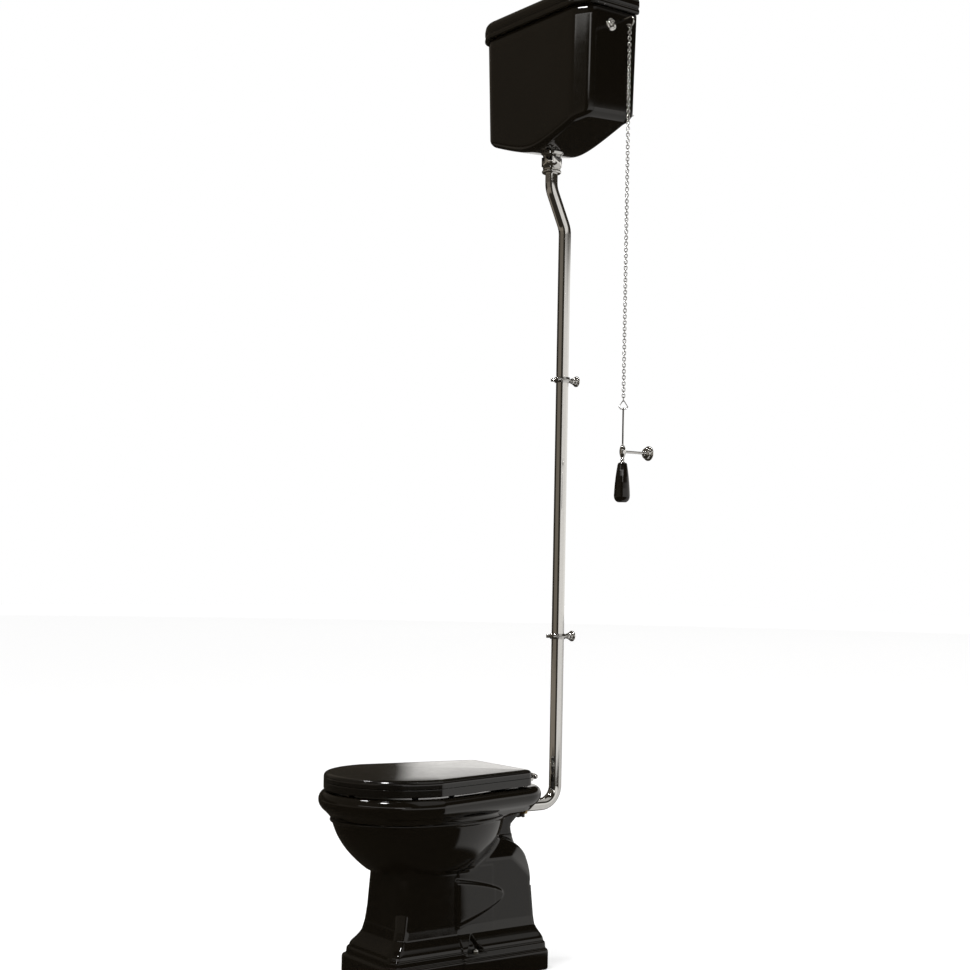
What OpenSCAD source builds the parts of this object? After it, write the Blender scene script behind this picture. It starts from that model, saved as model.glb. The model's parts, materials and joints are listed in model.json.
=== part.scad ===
// High level pull chain toilet: floor standing pan with a lifting seat, a tall flush pipe,
// and a wall hung cistern with a siphon, worked by a lever, a chain and a drop handle.
// Millimetres. Origin: midway between the two floor screw holes, on the floor.
// +X is to the right facing the wall, +Y towards the wall, +Z up.

/* [Room] */
// Distance from the floor screws to the wall face
wall_y = 350; // [340:1:380]

/* [Pan] */
// Height of the rim above the floor
rim_z = 423; // [410:1:430]
// Half width of the rim where the round front meets the straight sides
rim_w = 180; // [170:1:186]
// Front of the rim, forward of the floor screws
rim_front = 329; // [322:1:334]
// Where the round front meets the straight sides, forward of the floor screws
rim_kink = 145; // [120:1:150]
// Half width of the rim at its back
rim_back_w = 108; // [104:1:114]
// Back of the rim, behind the floor screws
rim_back = 201; // [198:1:208]
// Depth of the rolled rim
rim_depth = 56; // [50:1:58]
// Height of the waist between bowl and pedestal
waist_z = 245; // [240:1:250]
// Half width of the foot on the floor
foot_w = 118; // [114:1:124]
// Front of the foot, forward of the floor screws
foot_front = 233; // [226:1:238]
// Back of the foot, behind the floor screws
foot_back = 201; // [198:1:206]
// Height of the plain band of the foot
foot_band = 46; // [42:1:50]
// Distance between the two floor screw holes
screw_span = 204; // [200:1:210]
// Diameter of the floor screw holes
screw_hole = 9; // [7:0.5:10]
// Outside diameter of the soil spigot under the foot
soil_d = 102; // [98:1:104]

/* [Seat] */
// Thickness of the seat ring
ring_t = 17; // [16:0.5:20]
// Thickness of the lid at its edge
cover_t = 18; // [17:0.5:20]
// Rise of the lid from its edge to its middle
cover_crown = 6; // [4:0.5:8]
// Gap under the ring, kept by its buffers
ring_gap = 4; // [3:0.5:5]
// Gap between the ring and the lid, kept by the lid's buffers
lid_gap = 1; // [1:0.5:2]
// How far the seat stands inside the rim all round
seat_inset = 11; // [9:1:13]
// Half width of the seat at its back edge
seat_back_w = 114; // [110:1:116]
// Back edge of the seat, behind the floor screws
seat_back = 147; // [142:1:149]
// Distance between the two hinge posts
post_span = 110; // [106:1:114]
// Diameter of the hinge rod
hinge_d = 8; // [7:0.5:9]

/* [Cistern] */
// Half width of the tank at its top
tank_w = 202; // [196:1:206]
// Depth of the tank from the wall to its front
tank_d = 164; // [160:1:168]
// Height of the tank's top edge above the floor
tank_top = 2240; // [2235:1:2245]
// Height of the bottom of the tank at its middle
tank_floor = 1931; // [1929:1:1933]
// Slope of the bottom, rise for each millimetre sideways
tank_slope = 0.36; // [0.3:0.01:0.4]
// Width of the front corner chamfers
tank_chamfer = 36; // [30:1:40]
// Wall thickness of the tank and its lid
tank_wall = 9; // [8:0.5:10]
// How far the lid stands out past the tank
lid_lip = 10; // [9:0.5:12]
// Height of the lid
lid_h = 55; // [50:1:60]
// Distance between the two wall screw holes
wall_span = 240; // [220:5:260]

/* [Flush pipe] */
// Outside diameter of the flush pipe
pipe_d = 30; // [28:0.5:32]
// Distance from the wall to the pipe's axis
pipe_off = 45; // [42:1:48]
// Distance from the wall to the axis of the tank outlet
outlet_off = 90; // [88:1:92]
// Height of the horizontal run into the pan
inlet_z = 362; // [358:1:364]
// Heights of the two wall clips
clip_z = [764, 1387];

/* [Pull] */
// Height of the lever's pivot
lever_z = 2202; // [2198:1:2206]
// Distance from the wall to the lever and chain
pull_off = 80; // [78:0.5:82]
// Distance of the chain from the middle of the tank
chain_x = 266; // [262:1:270]
// Pitch of the chain's links
link_pitch = 7; // [6.5:0.25:8]
// Wire diameter of the links
link_wire = 2; // [1.6:0.1:2.2]
// Number of links
link_count = 122; // [110:1:124]
// Height of the guide bead's centre
guide_z = 1198; // [1190:1:1206]
// Length of the drop handle
handle_l = 90; // [80:1:100]
// Largest diameter of the drop handle
handle_d = 37; // [32:1:40]

/* [Siphon] */
// Distance from the lever's pivot to its inner eye
inner_arm = 124; // [120:1:126]
// Half of the lever's swing
half_swing = 7.5; // [7:0.25:8]
// Outside diameter of the siphon bell
bell_d = 82; // [78:1:84]

/* [Hidden] */
$fn = 48;

GLAZE = [0.08, 0.07, 0.055];
LACQUER = [0.10, 0.09, 0.08];
CHROME = [0.80, 0.80, 0.78];
BRASS = [0.78, 0.62, 0.30];
RUBBER = [0.12, 0.12, 0.12];
PLASTIC = [0.90, 0.90, 0.87];

// How deep one solid sinks into another of its own piece
sink = 1;
// Radial running clearance of a rod in its bore
run = 0.06;

// Heights of the seat
ring_z = rim_z + ring_gap;
cover_z = ring_z + ring_t + lid_gap;
hinge_z = cover_z - lid_gap / 2;
hinge_y = seat_back + 19;

// Places of the pull
lever_y = wall_y - pull_off;
pivot_x = tank_w - 5;
hook_r = 10.5;
hook_z = lever_z - hook_r;
hook_x = chain_x + 2.5;
hook_wire = 4;
lever_d = 7;

// The siphon stands under the lever's inner eye
siphon_x = pivot_x - inner_arm * (1 + cos(half_swing)) / 2;
outlet_y = wall_y - outlet_off;
eye_x = pivot_x - inner_arm * cos(half_swing);
eye_z = lever_z - inner_arm * sin(half_swing);

// Flat seats cut in the tank's ends, outside and inside, for what is bolted through them
seat_out = tank_w - 2;
seat_in = tank_w - tank_wall - 0.8;

// ---------------------------------------------------------------- helpers

// The middle of a ring of points
function middle(ring) = [for (a = [0 : 2]) total(ring, a) / len(ring)];
function total(ring, a, k = 0) = k == len(ring) ? 0 : ring[k][a] + total(ring, a, k + 1);

// Triangles that join ring k to ring j, both with n points
function skin(k, j, n) = [for (i = [0 : n - 1]) each [
    [k * n + i, j * n + i, k * n + (i + 1) % n],
    [k * n + (i + 1) % n, j * n + i, j * n + (i + 1) % n]
]];

// A solid through a list of rings with equal point counts, closed by flat ends.
// The rings run anticlockwise seen from the last one.
module loft(rings) {
    n = len(rings[0]);
    m = len(rings);
    polyhedron(
        points = concat([for (r = rings) each r], [middle(rings[0]), middle(rings[m - 1])]),
        faces = concat(
            [for (i = [0 : n - 1]) [i, (i + 1) % n, n * m]],
            [for (k = [0 : m - 2]) each skin(k, k + 1, n)],
            [for (i = [0 : n - 1]) [(m - 1) * n + (i + 1) % n, (m - 1) * n + i, n * m + 1]]
        )
    );
}

// The same, but the last ring joins the first, for a body with a hole through it
module loop_loft(rings) {
    n = len(rings[0]);
    m = len(rings);
    polyhedron(
        points = [for (r = rings) each r],
        faces = [for (k = [0 : m - 1]) each skin(k, (k + 1) % m, n)]
    );
}

// A plan drawn in towards a point, to a share s of its size
function drawn(s, plan, to) = [for (p = plan) to + s * (p - to)];

// A plan outline lifted to one height
function at_z(plan, z) = [for (p = plan) [p[0], p[1], z]];

// A point on a quadratic curve
function bend(a, b, c, t) = (1 - t) * (1 - t) * a + 2 * t * (1 - t) * b + t * t * c;

// Plan of the rim and seat: round front, a kink, straight sides drawn in to the back.
// w and kink place the kink, tip is the front, bw and back the back corners
function seat_plan(w, kink, tip, bw, back, corner) =
    let (
        side = [for (t = [0.25, 0.5, 0.72]) [w + (bw - w) * t, -kink + (back + kink) * t]],
        from = [w + (bw - w) * 0.8, -kink + (back + kink) * 0.8],
        round = [for (k = [0 : 5]) bend(from, [bw, back], [bw - corner, back], k / 5)],
        right = concat(side, round)
    )
    concat(
        [for (k = [0 : 24]) [-w * cos(k * 7.5), -kink - (tip - kink) * sin(k * 7.5)]],
        right,
        [[0, back]],
        [for (k = [len(right) - 1 : -1 : 0]) [-right[k][0], right[k][1]]]
    );

// The rim's own outline, moved in or out by o
function rim_plan(o) = seat_plan(
    rim_w + o, rim_kink, rim_front + o, rim_back_w + o, rim_back + o, 66);

// The seat's outline, moved in or out by o
function lid_plan(o) = seat_plan(
    rim_w - seat_inset + o, rim_kink, rim_front - seat_inset + o,
    seat_back_w + o, seat_back + o, 14);

// An ellipse in plan: half width, half length and the middle's y
function oval(w, l, y, n = 40) = [for (k = [0 : n - 1]) [-w * cos(k * 360 / n), y - l * sin(k * 360 / n)]];

// Plan of the foot and column: chamfered front, straight sides with a step at the
// middle, square back with small chamfers
function foot_plan(wf, wr, front, back, cx, cy) = [
    [-wf, -front + cy], [-wf + cx, -front], [0, -front], [wf - cx, -front], [wf, -front + cy],
    [wf, -42], [wr, -34], [wr, back - 16], [wr - 5, back - 5], [wr - 16, back],
    [0, back],
    [-wr + 16, back], [-wr + 5, back - 5], [-wr, back - 16], [-wr, -34], [-wf, -42]
];

// Straight tube standing on a point, with a bore
module tube(d, bore, h) {
    difference() {
        cylinder(d = d, h = h);
        translate([0, 0, -sink]) cylinder(d = bore, h = h + 2 * sink);
    }
}

// Hexagon prism
module hexagon(across, h) {
    cylinder(d = across / cos(30), h = h, $fn = 6);
}

// Turns what stands along +Z to lie along +Y or along +X
module along_y() { rotate([-90, 0, 0]) children(); }
module along_x() { rotate([0, 90, 0]) children(); }

// Puts the children at both hinge posts
module at_posts() {
    for (s = [-1, 1]) translate([s * post_span / 2, hinge_y, 0]) children();
}

// ---------------------------------------------------------------- pan

// Rolled rim with the deck behind the bowl: share of its depth, and how far out it stands
rim_steps = [
    [0, -25], [0.07, -22], [0.18, -15.5], [0.3, -8], [0.45, -2.2], [0.57, -0.3], [0.68, 0],
    [0.8, -2], [0.91, -6], [1, -12]
];
module rim_roll() {
    loft([for (s = rim_steps) at_z(rim_plan(s[1]), rim_z - rim_depth * (1 - s[0]))]);
}

// Outside of the bowl. Its half length and height follow one curve from under the
// rim down to the waist, and its middle moves forward as it rises.
bowl_top = rim_z - rim_depth - 10;
bowl_l = 213;
bowl_ratio = 0.71;
waist_l = 137;
function bowl_ring(t, o = 0, z = 0) =
    let (l = bend(bowl_l, bowl_l - 10, waist_l, t) + o)
    at_z(oval(l * bowl_ratio, l, -90 + 13 * t),
        z > 0 ? z : bend(bowl_top, bowl_top - 60, waist_z, t));
module bowl() {
    loft(concat(
        [bowl_ring(1, -62, waist_z - 20), bowl_ring(1, -30, waist_z - 13), bowl_ring(1, -12, waist_z - 6)],
        [for (k = [9 : -1 : 0]) bowl_ring(k / 9)],
        // Plain bead and the cove under the rim
        [
            bowl_ring(0, 4, bowl_top + 1), bowl_ring(0, 4, bowl_top + 6),
            bowl_ring(0, 0, bowl_top + 7), bowl_ring(0, 1, bowl_top + 12),
            bowl_ring(0, 4, bowl_top + 18)
        ]
    ));
}

// Foot mouldings and the column that rises to the bowl: z, inset of the sides, of the
// front and of the back
foot_steps = [
    [0, 2, 2, 2], [3, 0, 0, 0], [foot_band, 0, 0, 0], [foot_band + 3, 3, 3, 1.5],
    [foot_band + 4, 6, 7, 2.5], [foot_band + 16, 7, 8, 3.5], [foot_band + 18, 11, 12, 5],
    [foot_band + 28, 13, 15, 6.5], [foot_band + 34, 18, 21, 8.5], [foot_band + 42, 24, 28, 12],
    [foot_band + 54, 30, 36, 17.5], [foot_band + 75, 33, 42, 20], [foot_band + 110, 36, 47, 22],
    [foot_band + 160, 37, 51, 27], [waist_z + 6, 37, 55, 40]
];
foot_step = 7;
module column() {
    loft([for (s = foot_steps) at_z(
        foot_plan(foot_w - foot_step * (1 - s[1] / 37) - s[1], foot_w - s[1],
            foot_front - s[2], foot_back - s[3], 20, 12),
        s[0])]);
}

// Side view of the trap's housing, y and z, drawn in by o
function hump_side(o) = concat(
    [[-60, 80], [foot_back - 22 - o / 2, 80], [foot_back - 23 - o / 2, 140]],
    [for (k = [0 : 8]) bend([foot_back - 27 - o, 205], [foot_back - 38 - o, 292 - o],
        [76, 304 - o], k / 8)],
    [[30, 306 - o], [-60, 306 - o]]
);

// Trap housing behind the bowl, with rounded shoulders
hump_w = foot_w - 38;
module hump() {
    steps = [[1, 17], [0.985, 10], [0.94, 4], [0.86, 1], [0.74, 0]];
    loft(concat(
        [for (s = steps) [for (p = hump_side(s[1])) [-hump_w * s[0], p[0], p[1]]]],
        [for (k = [4 : -1 : 0]) [for (p = hump_side(steps[k][1])) [hump_w * steps[k][0], p[0], p[1]]]]
    ));
}

// Upright rib behind the bowl that carries the inlet horn
spine_w = 32;
module spine() {
    steps = [[-1, 8], [-0.9, 3], [-0.65, 0], [0.65, 0], [0.9, 3], [1, 8]];
    // Its back, y and z: in over the trap's housing, then out to a boss under the horn
    top = rim_z - rim_depth + 10;
    back = [
        [172, 180], [168, 260], [152, 312], [152, 328], [163, 336], [173, 346], [177, 356], [177, top]
    ];
    loft([for (s = steps) concat(
        [[s[0] * spine_w, 60, 180]],
        [for (b = back) [s[0] * spine_w, b[0] - s[1], b[1]]],
        [[s[0] * spine_w, 60, top]]
    )]);
}

// Raised field that the trap makes on each side: a rounded teardrop in side view,
// inset by o, that tapers and climbs a little towards the back
relief_up = 6;
function relief_side(o) = [for (a = [0 : 15 : 345])
    let (y = (92 - o) * cos(a))
    [22 + y, 167 + 0.07 * y + (45 - o) * sin(a) * (1 - 0.2 * cos(a))]];
module relief() {
    steps = [[-12, 0], [0, 0], [0.6 * relief_up, 1.5], [0.9 * relief_up, 4.5], [relief_up, 10]];
    loft([for (s = steps) [for (p = relief_side(s[1])) [hump_w + 1 + s[0], p[0], p[1]]]]);
}

// Inside of the bowl down to the sump: z, half width, half length, middle
well_steps = [
    [131, 30, 32, -99], [136, 36, 39, -98], [153, 41, 45, -96], [190, 48, 58, -92], [230, 54, 72, -88],
    [252, 78, 110, -82], [286, 108, 154, -84], [320, 126, 180, -87], [350, 134, 192, -90],
    [rim_z - 14, 128, 182, -95], [rim_z - 4, 130, 184, -95], [rim_z + 2, 136, 190, -95]
];
module well() {
    loft([for (s = well_steps) at_z(oval(s[1], s[2], s[3]), s[0])]);
}

// Middle line of the trap, y and z: out of the sump, over the weir in one arc, and down
trap_r = 33;
weir_r = 44;
weir = [68, 198];
trap_path = concat(
    [[-100, 172], [-68, 159], [-37, 160], [-10, 177], [12, 203]],
    [for (a = [130 : -26 : 0]) weir + weir_r * [cos(a), sin(a)]],
    [[113, 165], [115, 110]]
);
module trapway() {
    n = len(trap_path);
    // Direction at each point, along the chord of its neighbours
    function slope(k) = let (a = trap_path[max(k - 1, 0)], b = trap_path[min(k + 1, n - 1)])
        atan2(b[1] - a[1], b[0] - a[0]);
    loft([for (k = [0 : n - 1]) [for (j = [0 : 15]) let (a = j * 22.5, s = slope(k)) [
        -trap_r * cos(a),
        trap_path[k][0] - trap_r * sin(a) * sin(s),
        trap_path[k][1] + trap_r * sin(a) * cos(s)
    ]]]);
}

horn_d = 52;
horn_bore = 40;
horn_back = 196;
soil_y = 115;
soil_bore_r = 37;
module pan() color(GLAZE) difference() {
    union() {
        rim_roll();
        bowl();
        column();
        hump();
        spine();
        relief();
        mirror([1, 0, 0]) relief();
        // Inlet horn
        translate([0, 120, inlet_z]) along_y() cylinder(d = horn_d, h = horn_back - 120);
    }
    well();
    trapway();
    // Water way from the horn into the bowl, with the socket for the seal
    translate([0, 50, inlet_z]) along_y() cylinder(d = 24, h = 120);
    translate([0, horn_back - 32, inlet_z]) along_y() cylinder(d = horn_bore, h = 40);
    // Room for the pipe under the back of the deck
    translate([0, horn_back, inlet_z]) along_y() cylinder(d = horn_bore + 12, h = 40);
    // Soil outlet with clear space round its spigot
    translate([0, soil_y, -sink]) cylinder(r = soil_bore_r, h = 130);
    translate([0, soil_y, -sink]) difference() {
        cylinder(d = soil_d + 28, h = 56 + sink);
        translate([0, 0, -sink]) cylinder(d = soil_d, h = 60 + 2 * sink);
    }
    // Hollow under the sump
    hull() {
        for (x = [-62, 62], y = [-170, 16])
            translate([x, y, -sink]) cylinder(r = 14, h = 60, $fn = 24);
        for (x = [-36, 36], y = [-140, 0])
            translate([x, y, 0]) cylinder(r = 14, h = 86, $fn = 24);
    }
    // Seat post holes in the deck
    at_posts() translate([0, 0, rim_z - rim_depth - 10]) cylinder(d = 14, h = rim_depth + 20);
    // Floor screw holes, each with a scooped pocket above
    for (s = [-1, 1]) translate([s * screw_span / 2, 0, 0]) {
        translate([0, 0, -sink]) cylinder(d = screw_hole, h = 90);
        translate([0, 0, foot_band + 14]) cylinder(d = 24, h = 16);
        translate([0, 0, foot_band + 29.9]) cylinder(d1 = 24, d2 = 3, h = 34);
    }
}

// Rubber cone that seals the flush pipe in the horn
module horn_seal() color(RUBBER) translate([0, horn_back - 32, inlet_z]) along_y() difference() {
    union() {
        cylinder(d = horn_bore, h = 32);
        translate([0, 0, 32]) cylinder(d = horn_bore + 8, h = 5);
    }
    translate([0, 0, -sink]) cylinder(d = pipe_d, h = 50);
}

// ---------------------------------------------------------------- seat

seat_hole_w = 112;
seat_hole_l = 150;
seat_hole_y = -108;
// Opening of the seat ring with as many points as the seat's outline
function hole_plan(o) = [for (k = [0 : 43]) let (a = k <= 24 ? k * 7.5 : 180 + (k - 24) * 9)
    [-(seat_hole_w + o) * cos(a), seat_hole_y - (seat_hole_l + o) * sin(a)]];

// Places of the buffers, x and y, and the holes for their stems
ring_buffer_at = [[-128, -190], [128, -190], [-104, 70], [104, 70]];
cover_buffer_at = [[-104, -230], [104, -230], [-96, 90], [96, 90]];
stem_hole = 5;
stem_up = 7;
module stem_holes(places, z) {
    for (p = places) translate([p[0], p[1], z - sink]) cylinder(d = stem_hole, h = stem_up + sink);
}

module ring_form() loop_loft([
    at_z(lid_plan(-5), ring_z), at_z(lid_plan(-1.5), ring_z + 1.5), at_z(lid_plan(0), ring_z + 5),
    at_z(lid_plan(0), ring_z + ring_t - 1), at_z(lid_plan(-1), ring_z + ring_t),
    at_z(hole_plan(12), ring_z + ring_t), at_z(hole_plan(4), ring_z + ring_t - 3),
    at_z(hole_plan(0), ring_z + 8), at_z(hole_plan(1.5), ring_z + 2), at_z(hole_plan(5), ring_z)
]);

module ring_seat() color(LACQUER) difference() {
    ring_form();
    stem_holes(ring_buffer_at, ring_z);
}

// Lid: straight edge, round arris, and a low crown drawn in to its middle
cover_middle = [0, -85];
module cover_form() loft(concat(
    [
        at_z(lid_plan(-1), cover_z), at_z(lid_plan(0), cover_z + 1),
        at_z(lid_plan(0), cover_z + cover_t - 8), at_z(lid_plan(-1.6), cover_z + cover_t - 4.2),
        at_z(lid_plan(-4.6), cover_z + cover_t - 1.4)
    ],
    [for (s = [1, 0.8, 0.5, 0.2]) at_z(drawn(s, lid_plan(-9), cover_middle),
        cover_z + cover_t + cover_crown * (1 - s * s))]
));
module seat_cover() color(LACQUER) difference() {
    cover_form();
    stem_holes(cover_buffer_at, cover_z);
}

// Rubber buffers: a head that keeps the gap and a stem pressed into the part above
module buffer(head, gap) {
    cylinder(d = head, h = gap);
    cylinder(d = stem_hole, h = gap + stem_up);
}
module ring_buffers() color(RUBBER) for (p = ring_buffer_at) translate([p[0], p[1], rim_z])
    buffer(14, ring_gap);
module cover_buffers() color(RUBBER) for (p = cover_buffer_at)
    translate([p[0], p[1], cover_z - lid_gap]) buffer(12, lid_gap);

// Pillars that stand on the deck and hold the rod
post_d = 16;
module hinge_posts() color(CHROME) at_posts() difference() {
    union() {
        translate([0, 0, rim_z]) cylinder(d = 28, h = 3);
        translate([0, 0, rim_z + 2.9]) cylinder(d1 = 24, d2 = post_d, h = 5);
        translate([0, 0, rim_z]) cylinder(d = post_d, h = hinge_z - rim_z + 5);
        translate([0, 0, hinge_z + 5]) cylinder(d1 = post_d, d2 = 9, h = 4);
        translate([0, 0, rim_z - rim_depth - 22]) cylinder(d = 8, h = rim_depth + 23);
    }
    translate([-20, 0, hinge_z]) along_x() cylinder(d = hinge_d, h = 40);
}
module hinge_rod() color(CHROME) translate([0, hinge_y, hinge_z]) {
    rod_l = post_span + 84;
    translate([-rod_l / 2, 0, 0]) along_x() cylinder(d = hinge_d, h = rod_l);
    for (s = [-1, 1]) translate([s * (rod_l / 2 + 2), 0, 0]) sphere(d = hinge_d + 3, $fn = 32);
}
module hinge_washers() color(RUBBER) at_posts()
    translate([0, 0, rim_z - rim_depth - 4]) tube(26, 9, 4);
module hinge_nuts() color(BRASS) at_posts()
    translate([0, 0, rim_z - rim_depth - 13]) difference() {
        union() {
            hexagon(17, 7);
            translate([0, 0, 6.9]) cylinder(d = 24, h = 2.1);
        }
        translate([0, 0, -sink]) cylinder(d = 8, h = 20);
    }

// A knuckle round the rod with a tongue to the seat's back edge
module knuckle(x, w, low, high) {
    translate([x, hinge_y, hinge_z]) difference() {
        union() {
            translate([-w / 2, 0, 0]) along_x() cylinder(d = 15, h = w);
            translate([-w / 2, seat_back - hinge_y + 3, low - hinge_z])
                cube([w, hinge_y - seat_back - 5, high - low]);
            translate([-w / 2 - 4, seat_back - hinge_y, low - hinge_z])
                cube([w + 8, 3.5, high - low]);
        }
        translate([-w, 0, 0]) along_x() cylinder(r = hinge_d / 2 + run, h = 2 * w);
    }
}
module ring_knuckles() color(CHROME)
    for (s = [-1, 1]) knuckle(s * 84, 16, ring_z + 7, ring_z + ring_t - 3);
module cover_knuckles() color(CHROME)
    for (s = [-1, 1]) knuckle(s * 26, 16, cover_z + 3, cover_z + 11);

// ---------------------------------------------------------------- flush pipe

elbow_r = 42;
jog_r = 60;
jog_low = 1756;
jog_high = 1851;
jog_angle = atan((outlet_off - pipe_off) / (jog_high - jog_low));
pipe_top = 1911.5;
pipe_bore = pipe_d - 2.4;

// Each length and bend of the pipe starts at the end of the one before, pointing along +Z.
// A bend turns towards +Y for a positive radius and towards -Y for a negative one.
module pipe_section() {
    difference() {
        circle(d = pipe_d);
        circle(d = pipe_bore);
    }
}
module pipe_length(h) {
    linear_extrude(h) pipe_section();
    translate([0, 0, h]) children();
}
module pipe_bend(r, angle) {
    side = r > 0 ? 1 : -1;
    translate([0, r, 0]) rotate([90, 0, 90]) rotate_extrude(angle = -side * angle, start = r > 0 ? 180 : 0)
        translate([abs(r), 0]) pipe_section();
    translate([0, r, 0]) rotate([-side * angle, 0, 0]) translate([0, -r, 0]) children();
}
pipe_y = wall_y - pipe_off;
pipe_start = horn_back - 28;
// The slanted length and what the bends beside it take from each corner
jog_t = jog_r * tan(jog_angle / 2);
slant = (outlet_off - pipe_off) / sin(jog_angle) - 2 * jog_t;
module flush_pipe() color(CHROME) translate([0, pipe_start, inlet_z]) rotate([-90, 0, 0])
    pipe_length(pipe_y - elbow_r - pipe_start) pipe_bend(-elbow_r, 90)
    pipe_length(jog_low - jog_t - inlet_z - elbow_r) pipe_bend(-jog_r, jog_angle)
    pipe_length(slant) pipe_bend(jog_r, jog_angle) pipe_length(pipe_top - jog_high - jog_t);

// Split ring round the pipe, stem and turned rosette of each wall clip
ring_out = 37;
clip_ring_h = 13;
stem_d = 8;
rosette_t = 18;
module clip_rings() color(CHROME) for (z = clip_z) translate([0, pipe_y, z]) difference() {
    union() {
        translate([0, 0, -clip_ring_h / 2]) cylinder(d = ring_out, h = clip_ring_h);
        // Rounded bead round the band
        rotate_extrude() translate([ring_out / 2, 0]) circle(d = 5, $fn = 24);
        translate([0, 17, 0]) along_y() cylinder(d = 12, h = 5);
        // Ears of the closing screw
        translate([-14, -24.5, -4]) cube([6, 16, 8]);
        translate([8, -24.5, -4]) cube([6, 16, 8]);
    }
    translate([0, 0, -20]) cylinder(d = pipe_d, h = 40);
    translate([-0.6, -40, -20]) cube([1.2, 30, 40]);
}
module clip_stems() color(CHROME) for (z = clip_z)
    translate([0, pipe_y + 22, z]) along_y() cylinder(d = stem_d, h = pipe_off - 22 - 6);

// Turned rosette that stands on the wall, drawn from its wall face outwards
module rosette(d, bore) {
    rotate([90, 0, 0]) rotate_extrude() difference() {
        polygon([
            [0, 0], [d / 2, 0], [d / 2, 1.6], [d / 2 - 2.5, 3.2], [d / 2 - 5, 4], [d / 2 - 3.6, 7],
            [d / 2 - 4.2, 9.6], [d / 2 - 7, 11.2], [bore / 2 + 2.6, 13], [bore / 2 + 2.6, 16],
            [bore / 2 + 1.4, rosette_t], [0, rosette_t]
        ]);
        translate([-1, 6]) square([bore / 2 + 1, 20]);
    }
}
module clip_rosettes() color(CHROME) for (z = clip_z)
    translate([0, wall_y, z]) rosette(26, stem_d);

// ---------------------------------------------------------------- tank outlet

tail_d = 38;
nut_low = 1883;
module coupling_nut() color(CHROME) translate([0, outlet_y, nut_low + 14]) difference() {
    union() {
        cylinder(d = 43, h = 33);
        // Flats of the nut
        translate([0, 0, 5]) hexagon(43, 22);
    }
    translate([0, 0, -sink]) cylinder(d = pipe_d + 0.4, h = 40);
    translate([0, 0, 14]) cylinder(d = tail_d, h = 30);
}
// Bead below the nut that grips the pipe
module coupling_ring() color(CHROME) translate([0, outlet_y, nut_low]) difference() {
    union() {
        translate([0, 0, 7]) cylinder(d = 40, h = 7);
        translate([0, 0, 7]) rotate_extrude() translate([19, 0]) circle(d = 9, $fn = 32);
        translate([0, 0, 2.5]) cylinder(d = 38, h = 9);
    }
    translate([0, 0, -sink]) cylinder(d = pipe_d, h = 30);
}
module outlet_backnut() color(CHROME) translate([0, outlet_y, nut_low + 47]) difference() {
    cylinder(d1 = 44, d2 = 56, h = 6);
    translate([0, 0, -sink]) cylinder(d = tail_d, h = 10);
}
module outlet_washer() color(RUBBER) translate([0, outlet_y, tank_floor + tank_wall + 5])
    tube(56, tail_d, 3);

// ---------------------------------------------------------------- cistern

// Height of the tank's underside: a rounded keel that rises to both sides and to the wall
keel_r = 56;
keel_rise = 10;
function keel(x, y) = tank_floor + tank_slope * (sqrt(x * x + keel_r * keel_r) - keel_r)
    + keel_rise * (y - wall_y + tank_d) / tank_d;

// Plan of the tank: square back corners, chamfered and eased front corners, inset by o
function tank_plan(o, w = tank_w, d = tank_d) =
    let (
        x = w - o,
        f = wall_y - d + o,
        b = wall_y - max(o, 0),
        c = tank_chamfer,
        cy = tank_chamfer * 0.6,
        right = [
            [x - c - 7, f], [x - c - 1, f + 0.8], [x - c + 4.5, f + 3.2],
            [x - 5.5, f + cy - 4.6], [x - 1.5, f + cy + 0.4], [x, f + cy + 6],
            [x, (f + b) / 2], [x, b - 5], [x - 1.5, b - 1.5], [x - 5, b]
        ]
    )
    concat(
        [[-x / 2, f], [0, f], [x / 2, f]],
        right,
        [[x / 2, b], [0, b], [-x / 2, b]],
        [for (k = [len(right) - 1 : -1 : 0]) [-right[k][0], right[k][1]]]
    );

// The tank's form from its underside to a height, inset by o all round.
// Its sides draw in downwards, and the lower edge is rounded.
tank_draft = 8;
module tank_form(o, top) {
    edge = 16 - o * 0.5;
    function low(plan, lift) = [for (p = plan) [p[0], p[1], keel(p[0], p[1]) + o + lift]];
    function foot(i) = tank_plan(o + i, tank_w - tank_draft, tank_d - 4);
    loft(concat(
        [for (s = [0.25, 0.62]) low(drawn(s, foot(edge), [0, outlet_y]), 0)],
        [for (a = [0 : 22.5 : 90]) low(foot(edge * (1 - sin(a))), edge * (1 - cos(a)))],
        [at_z(tank_plan(o), top)]
    ));
}

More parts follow.
